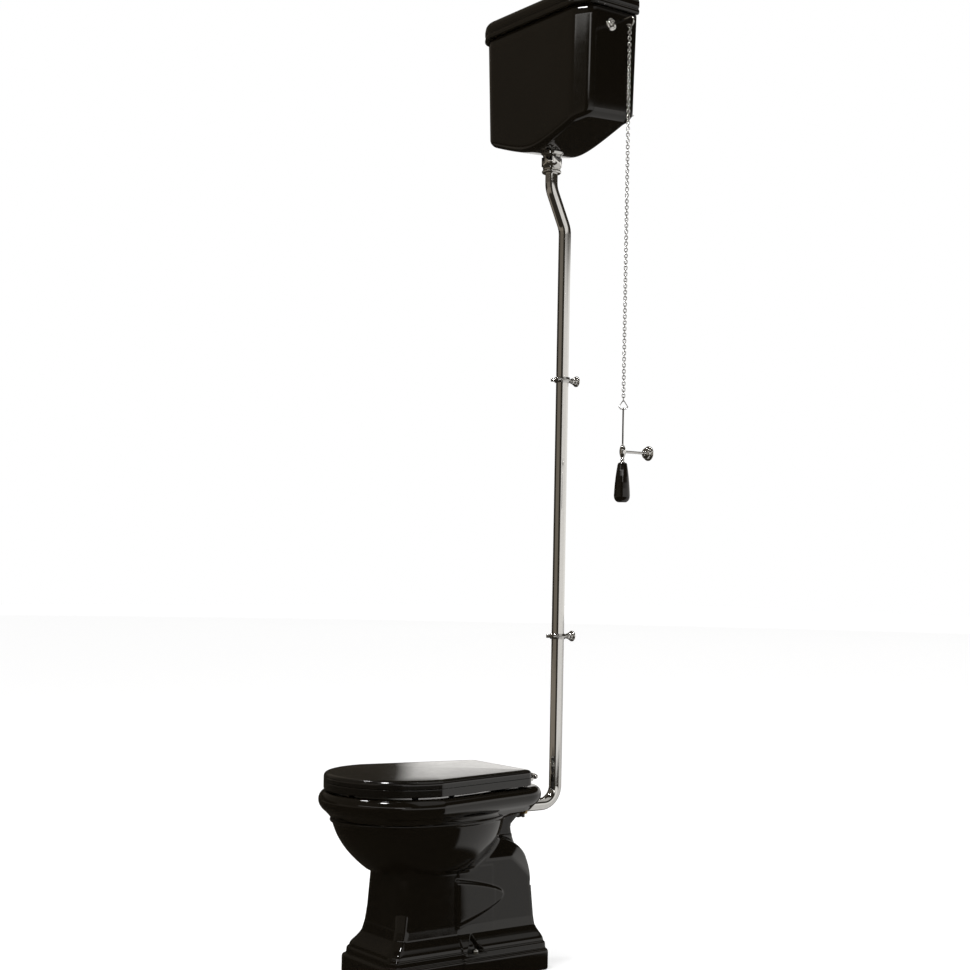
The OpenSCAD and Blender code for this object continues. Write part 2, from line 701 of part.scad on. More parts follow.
screw_z = tank_top - 34;
valve_z = 2196;
valve_y = wall_y - 78;
boss_d = 24;
module cistern() color(GLAZE) difference() {
    union() {
        tank_form(0, tank_top);
        // Flat pad round the outlet
        translate([0, outlet_y, tank_floor + 5]) cylinder(d = 62, h = 12);
    }
    tank_form(tank_wall, tank_top + 4);
    // Outlet
    translate([0, outlet_y, tank_floor - 20]) cylinder(d = tail_d + 1, h = 60);
    // Flat seats for the outlet washer and the back nut
    translate([0, outlet_y, tank_floor + tank_wall + 5]) cylinder(d = 60, h = 20);
    translate([0, outlet_y, tank_floor - 20]) cylinder(d = 62, h = 25);
    // Lever boss, with flat seats outside and inside
    translate([tank_w - 40, lever_y, lever_z]) along_x() cylinder(d = boss_d, h = 60);
    translate([seat_out, lever_y, lever_z]) along_x() cylinder(d = 34, h = 10);
    translate([seat_in - 10, lever_y, lever_z]) along_x() cylinder(d = 42, h = 10);
    // Float valve inlet, likewise
    translate([-tank_w - 20, valve_y, valve_z]) along_x() cylinder(d = 22, h = 60);
    translate([-seat_out - 10, valve_y, valve_z]) along_x() cylinder(d = 38, h = 10);
    translate([-seat_in, valve_y, valve_z]) along_x() cylinder(d = 34, h = 10);
    // Wall screws
    for (s = [-1, 1]) translate([s * wall_span / 2, wall_y - 30, screw_z])
        along_y() cylinder(d = 9, h = 40);
}

// Outline of the lid, standing out by o in front and at the sides but not at the wall
function cap_plan(o) = [for (p = tank_plan(-o)) [p[0], min(p[1], wall_y - 2)]];
module cistern_lid() color(GLAZE) {
    // Each row: how far out, height above the tank's edge, and size of the plan.
    // Hollow, locating lip, and the underside that rests on the tank
    inside = [
        [-30, 34, 0.6], [-30, 30, 1], [-20, 22, 1], [-18, -9, 1], [-17, -10, 1], [-12, -10, 1],
        [-11, -9, 1], [-11, 0, 1]
    ];
    // Bead, groove, large roll and slightly domed top
    outside = [
        [lid_lip - 3, 0, 1], [lid_lip - 0.6, 2, 1], [lid_lip, 6, 1], [lid_lip - 0.6, 10, 1],
        [lid_lip - 3, 13, 1], [lid_lip - 1.2, 16, 1], [lid_lip, 20, 1], [lid_lip, 27, 1],
        [lid_lip - 2, 34, 1], [lid_lip - 6, 40, 1], [lid_lip - 13, 45.5, 1], [lid_lip - 24, 49.5, 1],
        [lid_lip - 36, 52, 1], [lid_lip - 36, lid_h, 0.6]
    ];
    loft([for (s = concat(inside, outside))
        at_z(drawn(s[2], cap_plan(s[0]), [0, outlet_y]), tank_top + s[1])]);
}

// ---------------------------------------------------------------- siphon

bell_low = 1988;
bell_high = 2060;
leg_bore = 28;
leg_d = 34;
crown_z = 2106;
crown_d = 42;
crown_bore = 35;
guide_top = 2150;
rod_d = 6;
siphon_gap = sqrt(siphon_x * siphon_x + pow(lever_y - outlet_y, 2));
siphon_turn = atan2(lever_y - outlet_y, siphon_x);
collar_z = tank_floor + tank_wall + 8;

// What stands on the bell's axis and on the down leg's axis
module at_bell() { translate([siphon_x, lever_y, 0]) children(); }
module at_leg() { translate([0, outlet_y, 0]) children(); }
// Level run over both legs, with ball ends
module crown(d) {
    at_leg() rotate([0, 0, siphon_turn]) translate([0, 0, crown_z]) along_x()
        cylinder(d = d, h = siphon_gap);
    at_leg() translate([0, 0, crown_z]) sphere(d = d + 2);
    at_bell() translate([0, 0, crown_z]) sphere(d = d + 2);
}
module siphon_body() color(PLASTIC) difference() {
    union() {
        crown(crown_d);
        // Bell with its neck
        at_bell() rotate_extrude() polygon([
            [0, bell_low], [bell_d / 2, bell_low], [bell_d / 2, bell_high],
            [leg_d / 2, bell_high + 20], [leg_d / 2, crown_z], [0, crown_z]
        ]);
        // Guide for the rod
        at_bell() translate([0, 0, crown_z]) cylinder(d = 14, h = guide_top - crown_z);
        // Threaded tail, collar on the washer, and the down leg
        at_leg() rotate_extrude() polygon([
            [0, nut_low + 29], [tail_d / 2, nut_low + 29], [tail_d / 2, collar_z], [27, collar_z],
            [27, collar_z + 6], [23, collar_z + 6], [leg_d / 2, collar_z + 24],
            [leg_d / 2, crown_z], [0, crown_z]
        ]);
    }
    crown(crown_bore);
    at_bell() rotate_extrude() polygon([
        [0, bell_low - sink], [bell_d / 2 - 2.5, bell_low - sink], [bell_d / 2 - 2.5, bell_high],
        [leg_bore / 2, bell_high + 18], [leg_bore / 2, crown_z], [0, crown_z]
    ]);
    at_bell() translate([0, 0, crown_z]) cylinder(r = rod_d / 2 + run, h = guide_top - crown_z + sink);
    at_leg() translate([0, 0, nut_low]) cylinder(d = leg_bore, h = crown_z - nut_low);
}

// Lift rod with a flat eye at its top
module siphon_rod() color(BRASS) translate([siphon_x, lever_y, 0]) {
    low = bell_low + 4;
    translate([0, 0, low]) cylinder(d = rod_d, h = eye_z - eye_drop - 5 - low);
    difference() {
        translate([0, 2, eye_z - eye_drop]) rotate([90, 0, 0]) cylinder(d = 16, h = 4);
        translate([0, 5, eye_z - eye_drop]) rotate([90, 0, 0]) cylinder(d = 9, h = 10);
    }
}
// Perforated disc that lifts the water
module siphon_plunger() color(PLASTIC) translate([siphon_x, lever_y, bell_low + 6]) difference() {
    union() {
        cylinder(d = bell_d - 7, h = 4);
        cylinder(d = 16, h = 12);
    }
    translate([0, 0, -sink]) cylinder(d = rod_d, h = 20);
    for (a = [0 : 60 : 300]) rotate([0, 0, a]) translate([22, 0, -sink]) cylinder(d = 14, h = 10);
}
// Flexible flap over the disc's holes
module siphon_flap() color(RUBBER) translate([siphon_x, lever_y, bell_low + 10]) tube(bell_d - 10, 16, 1.5);

// Oval wire link between the rod's eye and the lever's eye
link_d = 2.4;
eye_drop = 19;
module siphon_link() color(BRASS) translate([siphon_x, lever_y, eye_z - eye_drop / 2])
    rotate([0, 0, 90]) link(6.5, eye_drop - 2 * 2.2 - 13, link_d);

// ---------------------------------------------------------------- lever

lever_r = lever_d / 2;
// Chrome boss through the tank's side, slotted for the lever
module lever_boss() color(CHROME) translate([0, lever_y, lever_z]) difference() {
    union() {
        translate([seat_out, 0, 0]) along_x() rotate_extrude() polygon([
            [0, 0], [15, 0], [15, 1.5], [13.6, 3.4], [11, 4.6], [10, 6.4], [8.6, 8], [0, 8]
        ]);
        translate([seat_in - 9, 0, 0]) along_x() cylinder(d = boss_d - 0.6, h = seat_out - seat_in + 10);
    }
    // Slot that lets the lever swing
    translate([tank_w - 40, -lever_r - 0.4, -8]) cube([80, lever_d + 0.8, 16]);
    // Pin hole
    translate([pivot_x, -20, 0]) along_y() cylinder(d = 3, h = 40);
}
module lever_nut() color(BRASS) translate([seat_in, lever_y, lever_z]) rotate([0, -90, 0])
    difference() {
        hexagon(32, 5);
        translate([0, 0, -sink]) cylinder(d = boss_d - 0.6, h = 10);
    }
module lever_pin() color(BRASS) translate([pivot_x, lever_y - 10.5, lever_z]) along_y()
    cylinder(d = 3, h = 21);

// One bar: inner arm with its eye, hub on the pin, outer arm and hook
module flush_lever() color(CHROME) translate([0, lever_y, 0]) difference() {
    union() {
        translate([pivot_x, -lever_d / 2, lever_z]) along_y() cylinder(d = 11, h = lever_d);
        translate([pivot_x, 0, lever_z]) rotate([0, -90 - half_swing, 0])
            cylinder(d = lever_d, h = inner_arm - 6);
        translate([eye_x, 2, eye_z]) rotate([90, 0, 0]) cylinder(d = 16, h = 4);
        translate([pivot_x, 0, lever_z]) along_x()
            cylinder(d1 = lever_d, d2 = hook_wire, h = hook_x - pivot_x);
        translate([hook_x, 0, hook_z]) rotate([90, 0, 0]) rotate_extrude(angle = 235, start = 215)
            translate([hook_r, 0]) circle(d = hook_wire);
        translate([hook_x, 0, hook_z]) rotate([0, -215, 0]) translate([hook_r, 0, 0]) sphere(d = 6);
    }
    // Pin hole and inner eye
    translate([pivot_x, -20, lever_z]) along_y() cylinder(r = 1.5 + run, h = 40);
    translate([eye_x, -20, eye_z]) along_y() cylinder(r = 4.2, h = 40);
}

// ---------------------------------------------------------------- chain and pull

link_r = 3.25;
// Room between two pieces of wire that hang in each other
slack = 0.1;
link_side = link_pitch + link_wire + slack - 2 * link_r;
hang_z = hook_z - hook_r;
// Closed oval link of round wire, in the plane of X and Z
module link(r, side, wire) {
    for (s = [-1, 1]) translate([0, 0, s * side / 2]) rotate([90, 0, 0])
        rotate_extrude(angle = 180, start = s > 0 ? 0 : 180) translate([r, 0]) circle(d = wire, $fn = 16);
    for (s = [-1, 1]) translate([s * r, 0, -side / 2]) cylinder(d = wire, h = side, $fn = 16);
}
// Ring that hangs the chain on the lever's hook, with room for the hook to swing
eye_r = 5;
eye_wire = 2;
eye_clear = 3.9;
eye_ring_z = hang_z + eye_clear - eye_r;
module chain_eye() color(CHROME) translate([chain_x, lever_y, eye_ring_z]) rotate([90, 0, 90])
    rotate_extrude() translate([eye_r, 0]) circle(d = eye_wire);
// The first link crosses the ring at 45 degrees, so it sits higher in it than links do in each other
eye_lift = 0.8;
first_link = eye_ring_z - eye_r + (eye_wire + link_wire) / 2 + eye_lift - link_r - link_side / 2;
// The last link lies in the plane of the bail, and they turn by a quarter from link to link
module chain() color(CHROME) translate([chain_x, lever_y, 0])
    for (k = [0 : link_count - 1])
        translate([0, 0, first_link - k * link_pitch])
            rotate([0, 0, 45 + 90 * ((link_count - 1 - k) % 2)]) link(link_r, link_side, link_wire);

// Small ring under the chain, which carries the bail
last_link = first_link - (link_count - 1) * link_pitch;
drop_r = 5.2;
drop_wire = 1.8;
drop_z = last_link - link_side / 2 - link_r + (link_wire + drop_wire) / 2 + slack - drop_r;
module drop_ring() color(CHROME) translate([chain_x, lever_y, drop_z])
    rotate([90, 0, -45]) rotate_extrude() translate([drop_r, 0]) circle(d = drop_wire);

// Three sided wire bail. Its legs meet at an angle, so the ring sits lower in it.
bail_wire = 2;
bail_ball = 2.6;
bail_top = drop_z - drop_r + 3.5;
bail_low = bail_top - 21;
bail_half = 10;
bail_foot = 5;
module bail_bar(a, b) {
    d = b - a;
    translate(a) rotate([0, atan2(d[0], d[2]), 0]) cylinder(d = bail_wire, h = norm(d));
    translate(a) sphere(d = bail_ball, $fn = 24);
}
module pull_bail() color(CHROME) translate([chain_x, lever_y, 0]) rotate([0, 0, 45]) {
    corners = [
        [0, 0, bail_top], [-bail_half, 0, bail_low + bail_foot], [-bail_half + 4, 0, bail_low],
        [bail_half - 4, 0, bail_low], [bail_half, 0, bail_low + bail_foot]
    ];
    for (k = [0 : 4]) bail_bar(corners[k], corners[(k + 1) % 5]);
}

// Rod from the bail down through the guide to the handle
pull_rod_d = 4;
handle_top = guide_z - 26;
module pull_rod() color(CHROME) translate([chain_x, lever_y, handle_top - 18]) difference() {
    union() {
        cylinder(d = pull_rod_d, h = bail_low - handle_top + 18);
        // Knob round the bail's foot
        translate([0, 0, bail_low - handle_top + 18]) sphere(d = 6.4, $fn = 32);
    }
    translate([0, 0, bail_low - handle_top + 18]) rotate([0, 0, 45]) rotate([0, 90, 0])
        cylinder(d = bail_wire, h = 20, center = true);
}
// Turned ferrule between rod and handle
module handle_eye() color(CHROME) translate([chain_x, lever_y, handle_top]) difference() {
    rotate_extrude() polygon([
        [0, 0], [6.5, 0], [6.5, 1.6], [4, 2.8], [3.2, 4.6], [4.8, 6.2], [4.8, 7.6], [3.4, 9.4],
        [3.2, 11.6], [0, 11.6]
    ]);
    translate([0, 0, -sink]) cylinder(d = pull_rod_d, h = 20);
}
// Black drop handle, swelling to a round shoulder near its foot
module pull_handle() color(LACQUER) translate([chain_x, lever_y, handle_top - handle_l]) difference() {
    w = handle_d / 2;
    rotate_extrude() polygon(concat(
        [[0, 0], [w - 9.5, 0]],
        [for (k = [0 : 6]) bend([w - 8.5, 0.4], [w, 4], [w, 16], k / 6)],
        [for (k = [1 : 5]) bend([w, 16], [w - 1.5, 52], [11, handle_l - 3], k / 5)],
        [[9.4, handle_l], [0, handle_l]]
    ));
    translate([0, 0, handle_l - 18]) cylinder(d = pull_rod_d, h = 30);
}

// Olive shaped bead that guides the rod, its stem and wall rosette
module guide_bead() color(CHROME) translate([chain_x, lever_y, guide_z]) difference() {
    rotate_extrude() polygon(concat(
        [[0, -14], [4.4, -14]],
        [for (a = [-60 : 15 : 60]) [4 + 3.4 * cos(a * 1.5), 13.2 * sin(a) / sin(60)]],
        [[4.4, 14], [0, 14]]
    ));
    translate([0, 0, -20]) cylinder(r = pull_rod_d / 2 + run, h = 40);
}
module guide_stem() color(CHROME) translate([chain_x, lever_y + 7.2, guide_z]) along_y()
    cylinder(d = 6, h = pull_off - 7.2 - 6);
module guide_rosette() color(CHROME) translate([chain_x, wall_y, guide_z]) rosette(34, 6);

// ---------------------------------------------------------------- float valve

// Free end that takes the supply connector, and the thicker shank under the back nut
thread_d = 20.9;
free_l = 28;
backnut_t = 8;
shank_d = 21.6;
washer_t = 1.6;
module valve_tail() color(BRASS) translate([-seat_out - backnut_t - free_l, valve_y, valve_z]) along_x()
    difference() {
        flange_at = free_l + backnut_t + seat_out - seat_in + washer_t;
        union() {
            cylinder(d = thread_d, h = free_l + sink);
            translate([0, 0, free_l]) cylinder(d = shank_d, h = flange_at - free_l);
            translate([0, 0, flange_at]) cylinder(d = 30, h = 6);
        }
        translate([0, 0, -sink]) cylinder(d = 12, h = 60);
    }
module valve_backnut() color(BRASS) translate([-seat_out - backnut_t, valve_y, valve_z]) along_x()
    difference() {
        hexagon(30, backnut_t);
        translate([0, 0, -sink]) cylinder(d = shank_d, h = 12);
    }
module valve_washer() color(RUBBER) translate([-seat_in, valve_y, valve_z]) along_x()
    tube(30, shank_d, washer_t);
body_x = -seat_in + washer_t + 6;
arm_x = body_x + 38;
arm_z = valve_z - 10;
module valve_body() color(BRASS) translate([body_x, valve_y, valve_z]) difference() {
    union() {
        along_x() cylinder(d = 24, h = 30);
        // Fork that carries the arm
        translate([26, -9, -16]) cube([18, 18, 16]);
        // Nozzle turned down
        translate([10, 0, -22]) cylinder(d = 12, h = 16);
    }
    translate([-sink, 0, 0]) along_x() cylinder(d = 12, h = 14);
    translate([12, 0, 0]) along_x() cylinder(d = 14, h = 30);
    translate([10, 0, -24]) cylinder(d = 7, h = 24);
    translate([24, -4, -20]) cube([30, 8, 30]);
    translate([arm_x - body_x, -20, arm_z - valve_z]) along_y() cylinder(d = 4, h = 40);
}
// Piston with a narrow nose that the arm's finger bears on
module valve_piston() color(BRASS) translate([body_x + 15, valve_y, valve_z]) along_x() {
    cylinder(r = 7 - run, h = 14);
    cylinder(r = 3, h = 19.6);
}
module valve_pin() color(BRASS) translate([arm_x, valve_y - 10, arm_z]) along_y()
    cylinder(d = 4, h = 20);

// Float on a straight arm that slopes down from the pin
float_r = 40;
float_l = 85;
float_dip = 32.6;
float_x = arm_x + float_l * cos(float_dip);
float_z = arm_z - float_l * sin(float_dip);
arm_d = 5;
module float_arm() color(BRASS) translate([arm_x, valve_y, arm_z]) difference() {
    union() {
        translate([0, 3, 0]) rotate([90, 0, 0]) cylinder(d = 8, h = 6);
        // Short finger that presses the piston
        translate([-3, -3, 0]) cube([4.6, 6, 12]);
        rotate([0, 90 + float_dip, 0]) cylinder(d = arm_d, h = float_l - float_r + 4);
    }
    translate([0, -10, 0]) along_y() cylinder(r = 2 + run, h = 20);
}
module float_ball() color(PLASTIC) translate([float_x, valve_y, float_z]) difference() {
    sphere(r = float_r);
    rotate([0, float_dip - 90, 0]) translate([0, 0, float_r - 4]) cylinder(d = arm_d, h = 10);
}

// ---------------------------------------------------------------- nodes

pan();
ring_seat();
seat_cover();
ring_buffers();
cover_buffers();
hinge_posts();
hinge_rod();
hinge_washers();
hinge_nuts();
ring_knuckles();
cover_knuckles();
horn_seal();
flush_pipe();
clip_rings();
clip_stems();
clip_rosettes();
coupling_nut();
coupling_ring();
outlet_backnut();
outlet_washer();
cistern();
cistern_lid();
siphon_body();
siphon_rod();
siphon_plunger();
siphon_flap();
siphon_link();
lever_boss();
lever_nut();
lever_pin();
flush_lever();
chain_eye();
chain();
drop_ring();
pull_bail();
pull_rod();
handle_eye();
pull_handle();
guide_bead();
guide_stem();
guide_rosette();
valve_tail();
valve_backnut();
valve_washer();
valve_body();
valve_piston();
valve_pin();
float_arm();
float_ball();
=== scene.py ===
import json
import math

import bmesh
import bpy
import numpy as np
from mathutils import Matrix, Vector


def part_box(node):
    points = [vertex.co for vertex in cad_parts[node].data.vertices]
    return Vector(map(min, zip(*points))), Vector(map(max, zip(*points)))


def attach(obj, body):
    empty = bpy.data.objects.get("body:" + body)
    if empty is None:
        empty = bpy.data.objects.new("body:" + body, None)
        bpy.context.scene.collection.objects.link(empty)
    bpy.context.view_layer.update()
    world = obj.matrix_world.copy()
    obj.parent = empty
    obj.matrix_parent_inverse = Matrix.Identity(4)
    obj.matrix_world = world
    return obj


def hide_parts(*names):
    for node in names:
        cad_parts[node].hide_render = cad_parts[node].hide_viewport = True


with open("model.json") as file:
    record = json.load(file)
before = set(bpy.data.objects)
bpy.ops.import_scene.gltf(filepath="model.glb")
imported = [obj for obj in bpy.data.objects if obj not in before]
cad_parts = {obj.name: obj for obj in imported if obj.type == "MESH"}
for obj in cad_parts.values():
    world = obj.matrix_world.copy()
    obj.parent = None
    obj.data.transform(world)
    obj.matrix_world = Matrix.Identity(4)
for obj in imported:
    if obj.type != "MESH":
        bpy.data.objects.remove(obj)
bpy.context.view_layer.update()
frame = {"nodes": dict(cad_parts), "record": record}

# Shapes are worked out in millimetres, as the frame is drawn, and made metres in the mesh.
MM = 0.001


# ------------------------------------------------------------------ camera

def set_camera():
    """The photograph's view: eye, heading, tilt and lens found by fitting the object's corners."""
    data = bpy.data.cameras.new("camera")
    camera = bpy.data.objects.new("camera", data)
    bpy.context.scene.collection.objects.link(camera)
    heading, tilt, roll = 53.5, 1.6, 1.1
    camera.matrix_world = (
        Matrix.Translation((3.0314, -2.1639, 0.9216))
        @ Matrix.Rotation(math.radians(heading), 4, "Z")
        @ Matrix.Rotation(math.radians(90 + tilt), 4, "X")
        @ Matrix.Rotation(math.radians(roll), 4, "Z")
    )
    data.sensor_width = 36
    data.lens = 59.64
    data.shift_y = 0.0412
    data.clip_end = 100
    bpy.context.scene.camera = camera


set_camera()


# ------------------------------------------------------------------ surfaces

def mesh_of(name, points, faces):
    """A smooth shaded object from points in millimetres and a list of faces."""
    mesh = bpy.data.meshes.new(name)
    mesh.from_pydata((np.asarray(points) * MM).tolist(), [], faces)
    mesh.validate()
    mesh.shade_smooth()
    piece = bpy.data.objects.new(name, mesh)
    bpy.context.scene.collection.objects.link(piece)
    return piece


def grid_faces(rows, columns, wrap_rows=False):
    """Quads of a grid whose columns close into rings. wrap_rows joins the last ring to the
    first."""
    r = np.arange(rows if wrap_rows else rows - 1)[:, None]
    c = np.arange(columns)[None, :]
    low, high = r * columns, ((r + 1) % rows) * columns
    right = (c + 1) % columns
    return np.stack([low + c, low + right, high + right, high + c], -1).reshape(-1, 4).tolist()


def fan_faces(ring, centre, up):
    """Triangles from a ring of point numbers to a centre point: for a lower end, or with up for
    an upper one."""
    a, b = ring, np.roll(ring, -1)
    return np.stack([a, b, np.full(len(ring), centre)] if up
                    else [b, a, np.full(len(ring), centre)], -1).tolist()


def lofted(name, rings, wrap=False):
    """Skin over rings of equal point count, rings[k, i] = point i of ring k, anticlockwise from
    above and rising. Two fans to the middle of the end rings close it, or wrap joins the ends."""
    rings = np.asarray(rings, float)
    k, n = rings.shape[:2]
    points = rings.reshape(-1, 3)
    faces = grid_faces(k, n, wrap_rows=wrap)
    if not wrap:
        points = np.vstack([points, rings[0].mean(0), rings[-1].mean(0)])
        faces += fan_faces(np.arange(n), k * n, up=False)
        faces += fan_faces(np.arange(n) + (k - 1) * n, k * n + 1, up=True)
    return mesh_of(name, points, faces)


def through(stations, per_span):
    """A smooth curve through stations, by Catmull-Rom cubics: works on rows of any shape."""
    p = np.asarray(stations, float)
    before = np.concatenate([2 * p[:1] - p[1:2], p[:-1]])
    after = np.concatenate([p[1:], 2 * p[-1:] - p[-2:-1]])
    slope = (after - before) / 2
    t = (np.arange(per_span) / per_span).reshape(1, -1, *[1] * (p.ndim - 1))
    a, b, sa, sb = (v[:, None] for v in (p[:-1], p[1:], slope[:-1], slope[1:]))
    span = ((2 * t**3 - 3 * t**2 + 1) * a + (t**3 - 2 * t**2 + t) * sa
            + (3 * t**2 - 2 * t**3) * b + (t**3 - t**2) * sb)
    return np.concatenate([span.reshape(-1, *p.shape[1:]), p[-1:]])


def evenly(outline, n):
    """n points evenly spaced along a closed outline, from its first point."""
    closed = np.vstack([outline, outline[:1]])
    run = np.concatenate([[0], np.cumsum(np.linalg.norm(np.diff(closed, axis=0), axis=1))])
    at = np.linspace(0, run[-1], n, endpoint=False)
    return np.stack([np.interp(at, run, closed[:, a]) for a in (0, 1)], 1)


def moved_out(outline, distance):
    """An anticlockwise outline with each point moved along its outward normal."""
    along = np.roll(outline, -1, 0) - np.roll(outline, 1, 0)
    normal = np.stack([along[:, 1], -along[:, 0]], 1)
    return outline + distance * normal / np.linalg.norm(normal, axis=1)[:, None]


def at_height(outline, z):
    """A plan outline lifted to a height, z a number or one value for each point."""
    return np.column_stack([outline, np.broadcast_to(z, len(outline))])


def rounded(corners, radii, n):
    """Outline with its corners replaced by arcs tangent to both sides, then spaced evenly."""
    p = np.asarray(corners, float)
    points = []
    for k, r in enumerate(radii):
        a, b, c = p[k - 1], p[k], p[(k + 1) % len(p)]
        u, v = (a - b) / np.linalg.norm(a - b), (c - b) / np.linalg.norm(c - b)
        half = math.acos(np.clip(u @ v, -1, 1)) / 2
        centre = b + (u + v) / np.linalg.norm(u + v) * r / math.sin(half)
        start, end = b + u * r / math.tan(half) - centre, b + v * r / math.tan(half) - centre
        turn = math.atan2(start[0] * end[1] - start[1] * end[0], start @ end)
        t = np.linspace(0, turn, 12)
        points.append(centre + np.stack([start[0] * np.cos(t) - start[1] * np.sin(t),
                                         start[0] * np.sin(t) + start[1] * np.cos(t)], 1))
    return evenly(np.vstack(points), n)


def turned(profile, place, axis="Z", around=64):
    """Rings of a turned piece: a profile of radius and height carried round an axis, Z or Y."""
    profile = np.asarray(profile, float)
    t = np.arange(around) * 2 * np.pi / around
    rings = np.stack([profile[:, :1] * np.cos(t), profile[:, :1] * np.sin(t),
                      np.repeat(profile[:, 1:], around, 1)], -1)
    spin = {"Z": np.eye(3), "Y": np.array([[1, 0, 0], [0, 0, 1], [0, -1, 0]])}[axis]
    return rings @ spin.T + np.asarray(place, float)


# Points of a mesh nearer than this, in metres, are one point
MERGE = 0.00002


def tidy(piece, sharp=None):
    """Merges doubles, recalculates the normals and marks edges sharper than an angle in degrees."""
    work = bmesh.new()
    work.from_mesh(piece.data)
    bmesh.ops.remove_doubles(work, verts=work.verts, dist=MERGE)
    bmesh.ops.dissolve_degenerate(work, edges=work.edges, dist=MERGE / 4)
    bmesh.ops.recalc_face_normals(work, faces=work.faces)
    work.to_mesh(piece.data)
    work.free()
    if sharp:
        piece.data.set_sharp_from_angle(angle=math.radians(sharp))
    return piece


# ------------------------------------------------------------------ finishes

def new_finish(name):
    """An empty material with its shader and the object's own coordinates."""
    material = bpy.data.materials.new(name)
    material.use_nodes = True
    tree = material.node_tree
    shader = tree.nodes["Principled BSDF"]
    place = tree.nodes.new("ShaderNodeTexCoord").outputs["Object"]
    return material, tree, shader, place


def noise(tree, place, scale, detail):
    """Noise in the object's own coordinates; its value is from 0 to 1."""
    node = tree.nodes.new("ShaderNodeTexNoise")
    node.inputs["Scale"].default_value = scale
    node.inputs["Detail"].default_value = detail
    tree.links.new(place, node.inputs["Vector"])
    return node.outputs["Fac"]


# Most of a noise lies between these two values
NOISE_LOW, NOISE_HIGH = 0.3, 0.7


def gloss_between(tree, shader, value, low, high):
    """Roughness that a noise moves between two values."""
    node = tree.nodes.new("ShaderNodeMapRange")
    node.inputs["From Min"].default_value = NOISE_LOW
    node.inputs["From Max"].default_value = NOISE_HIGH
    node.inputs["To Min"].default_value = low
    node.inputs["To Max"].default_value = high
    tree.links.new(value, node.inputs["Value"])
    tree.links.new(node.outputs["Result"], shader.inputs["Roughness"])


def two_tone(tree, shader, value, first, second):
    """A colour between two, by a 0 to 1 value."""
    node = tree.nodes.new("ShaderNodeMix")
    node.data_type = "RGBA"
    node.inputs["A"].default_value = (*first, 1)
    node.inputs["B"].default_value = (*second, 1)
    tree.links.new(value, node.inputs["Factor"])
    tree.links.new(node.outputs["Result"], shader.inputs["Base Color"])


def raised(tree, shader, value, depth, earlier=None):
    """A bump of a real depth in metres."""
    node = tree.nodes.new("ShaderNodeBump")
    node.inputs["Strength"].default_value = 1.0
    node.inputs["Distance"].default_value = depth
    tree.links.new(value, node.inputs["Height"])
    if earlier is not None:
        tree.links.new(earlier, node.inputs["Normal"])
    tree.links.new(node.outputs["Normal"], shader.inputs["Normal"])
    return node.outputs["Normal"]


def black_glaze():
    """Fired black glaze: warm near black, glassy, with the slow waves of a poured coat."""
    material, tree, shader, place = new_finish("black_glaze")
    shade = noise(tree, place, 6, 2)
    two_tone(tree, shader, shade, (0.0042, 0.0031, 0.0018), (0.0066, 0.0051, 0.0032))
    gloss_between(tree, shader, noise(tree, place, 40, 4), 0.05, 0.09)
    shader.inputs["IOR"].default_value = 1.5
    waves = raised(tree, shader, noise(tree, place, 8, 1), 0.0005)
    raised(tree, shader, noise(tree, place, 260, 2), 0.000008, waves)
    return material


def seat_lacquer():
    """Black lacquer on the seat: a hard clear coat over a softer black ground."""
    material, tree, shader, place = new_finish("seat_lacquer")
    shade = noise(tree, place, 14, 4)
    two_tone(tree, shader, shade, (0.0036, 0.0029, 0.0019), (0.0058, 0.0047, 0.0034))
    gloss_between(tree, shader, noise(tree, place, 70, 5), 0.14, 0.24)
    shader.inputs["Specular IOR Level"].default_value = 0.12
    shader.inputs["Coat Weight"].default_value = 1.0
    shader.inputs["Coat Roughness"].default_value = 0.04
    raised(tree, shader, noise(tree, place, 5, 1), 0.0002)
    return material


def polished_chrome():
    """Bright plate with faint rubbing marks."""
    material, tree, shader, place = new_finish("polished_chrome")
    shader.inputs["Metallic"].default_value = 1.0
    marks = noise(tree, place, 150, 4)
    two_tone(tree, shader, marks, (0.68, 0.67, 0.65), (0.78, 0.77, 0.75))
    gloss_between(tree, shader, marks, 0.04, 0.10)
    return material


def machined_brass():
    """Turned brass, slightly dulled by water."""
    material, tree, shader, place = new_finish("machined_brass")
    shader.inputs["Metallic"].default_value = 1.0
    stain = noise(tree, place, 60, 5)
    two_tone(tree, shader, stain, (0.55, 0.36, 0.13), (0.74, 0.55, 0.26))
    gloss_between(tree, shader, stain, 0.22, 0.42)
    return material


def black_rubber():
    """Matt moulded rubber with a fine grain."""
    material, tree, shader, place = new_finish("black_rubber")
    grain = noise(tree, place, 400, 3)
    two_tone(tree, shader, grain, (0.012, 0.012, 0.012), (0.03, 0.03, 0.03))
    gloss_between(tree, shader, grain, 0.55, 0.75)
    raised(tree, shader, grain, 0.00005)
    return material


def moulded_plastic():
    """Off white moulded plastic of the siphon and float."""
    material, tree, shader, place = new_finish("moulded_plastic")
    shade = noise(tree, place, 20, 3)
    two_tone(tree, shader, shade, (0.62, 0.61, 0.56), (0.72, 0.71, 0.67))
    gloss_between(tree, shader, noise(tree, place, 200, 3), 0.35, 0.5)
    raised(tree, shader, noise(tree, place, 300, 2), 0.00003)
    return material


FINISH = {
    "glaze": black_glaze(),
    "seat": seat_lacquer(),
    "chrome": polished_chrome(),
    "brass": machined_brass(),
    "rubber": black_rubber(),
    "plastic": moulded_plastic(),
}
SLOT_OF = {row["node"]: row["material_slot"] for row in frame["record"]["subparts"]}
BODY_OF = {node: body for body, nodes in frame["record"]["behaviour"]["bodies"].items()
           for node in nodes}


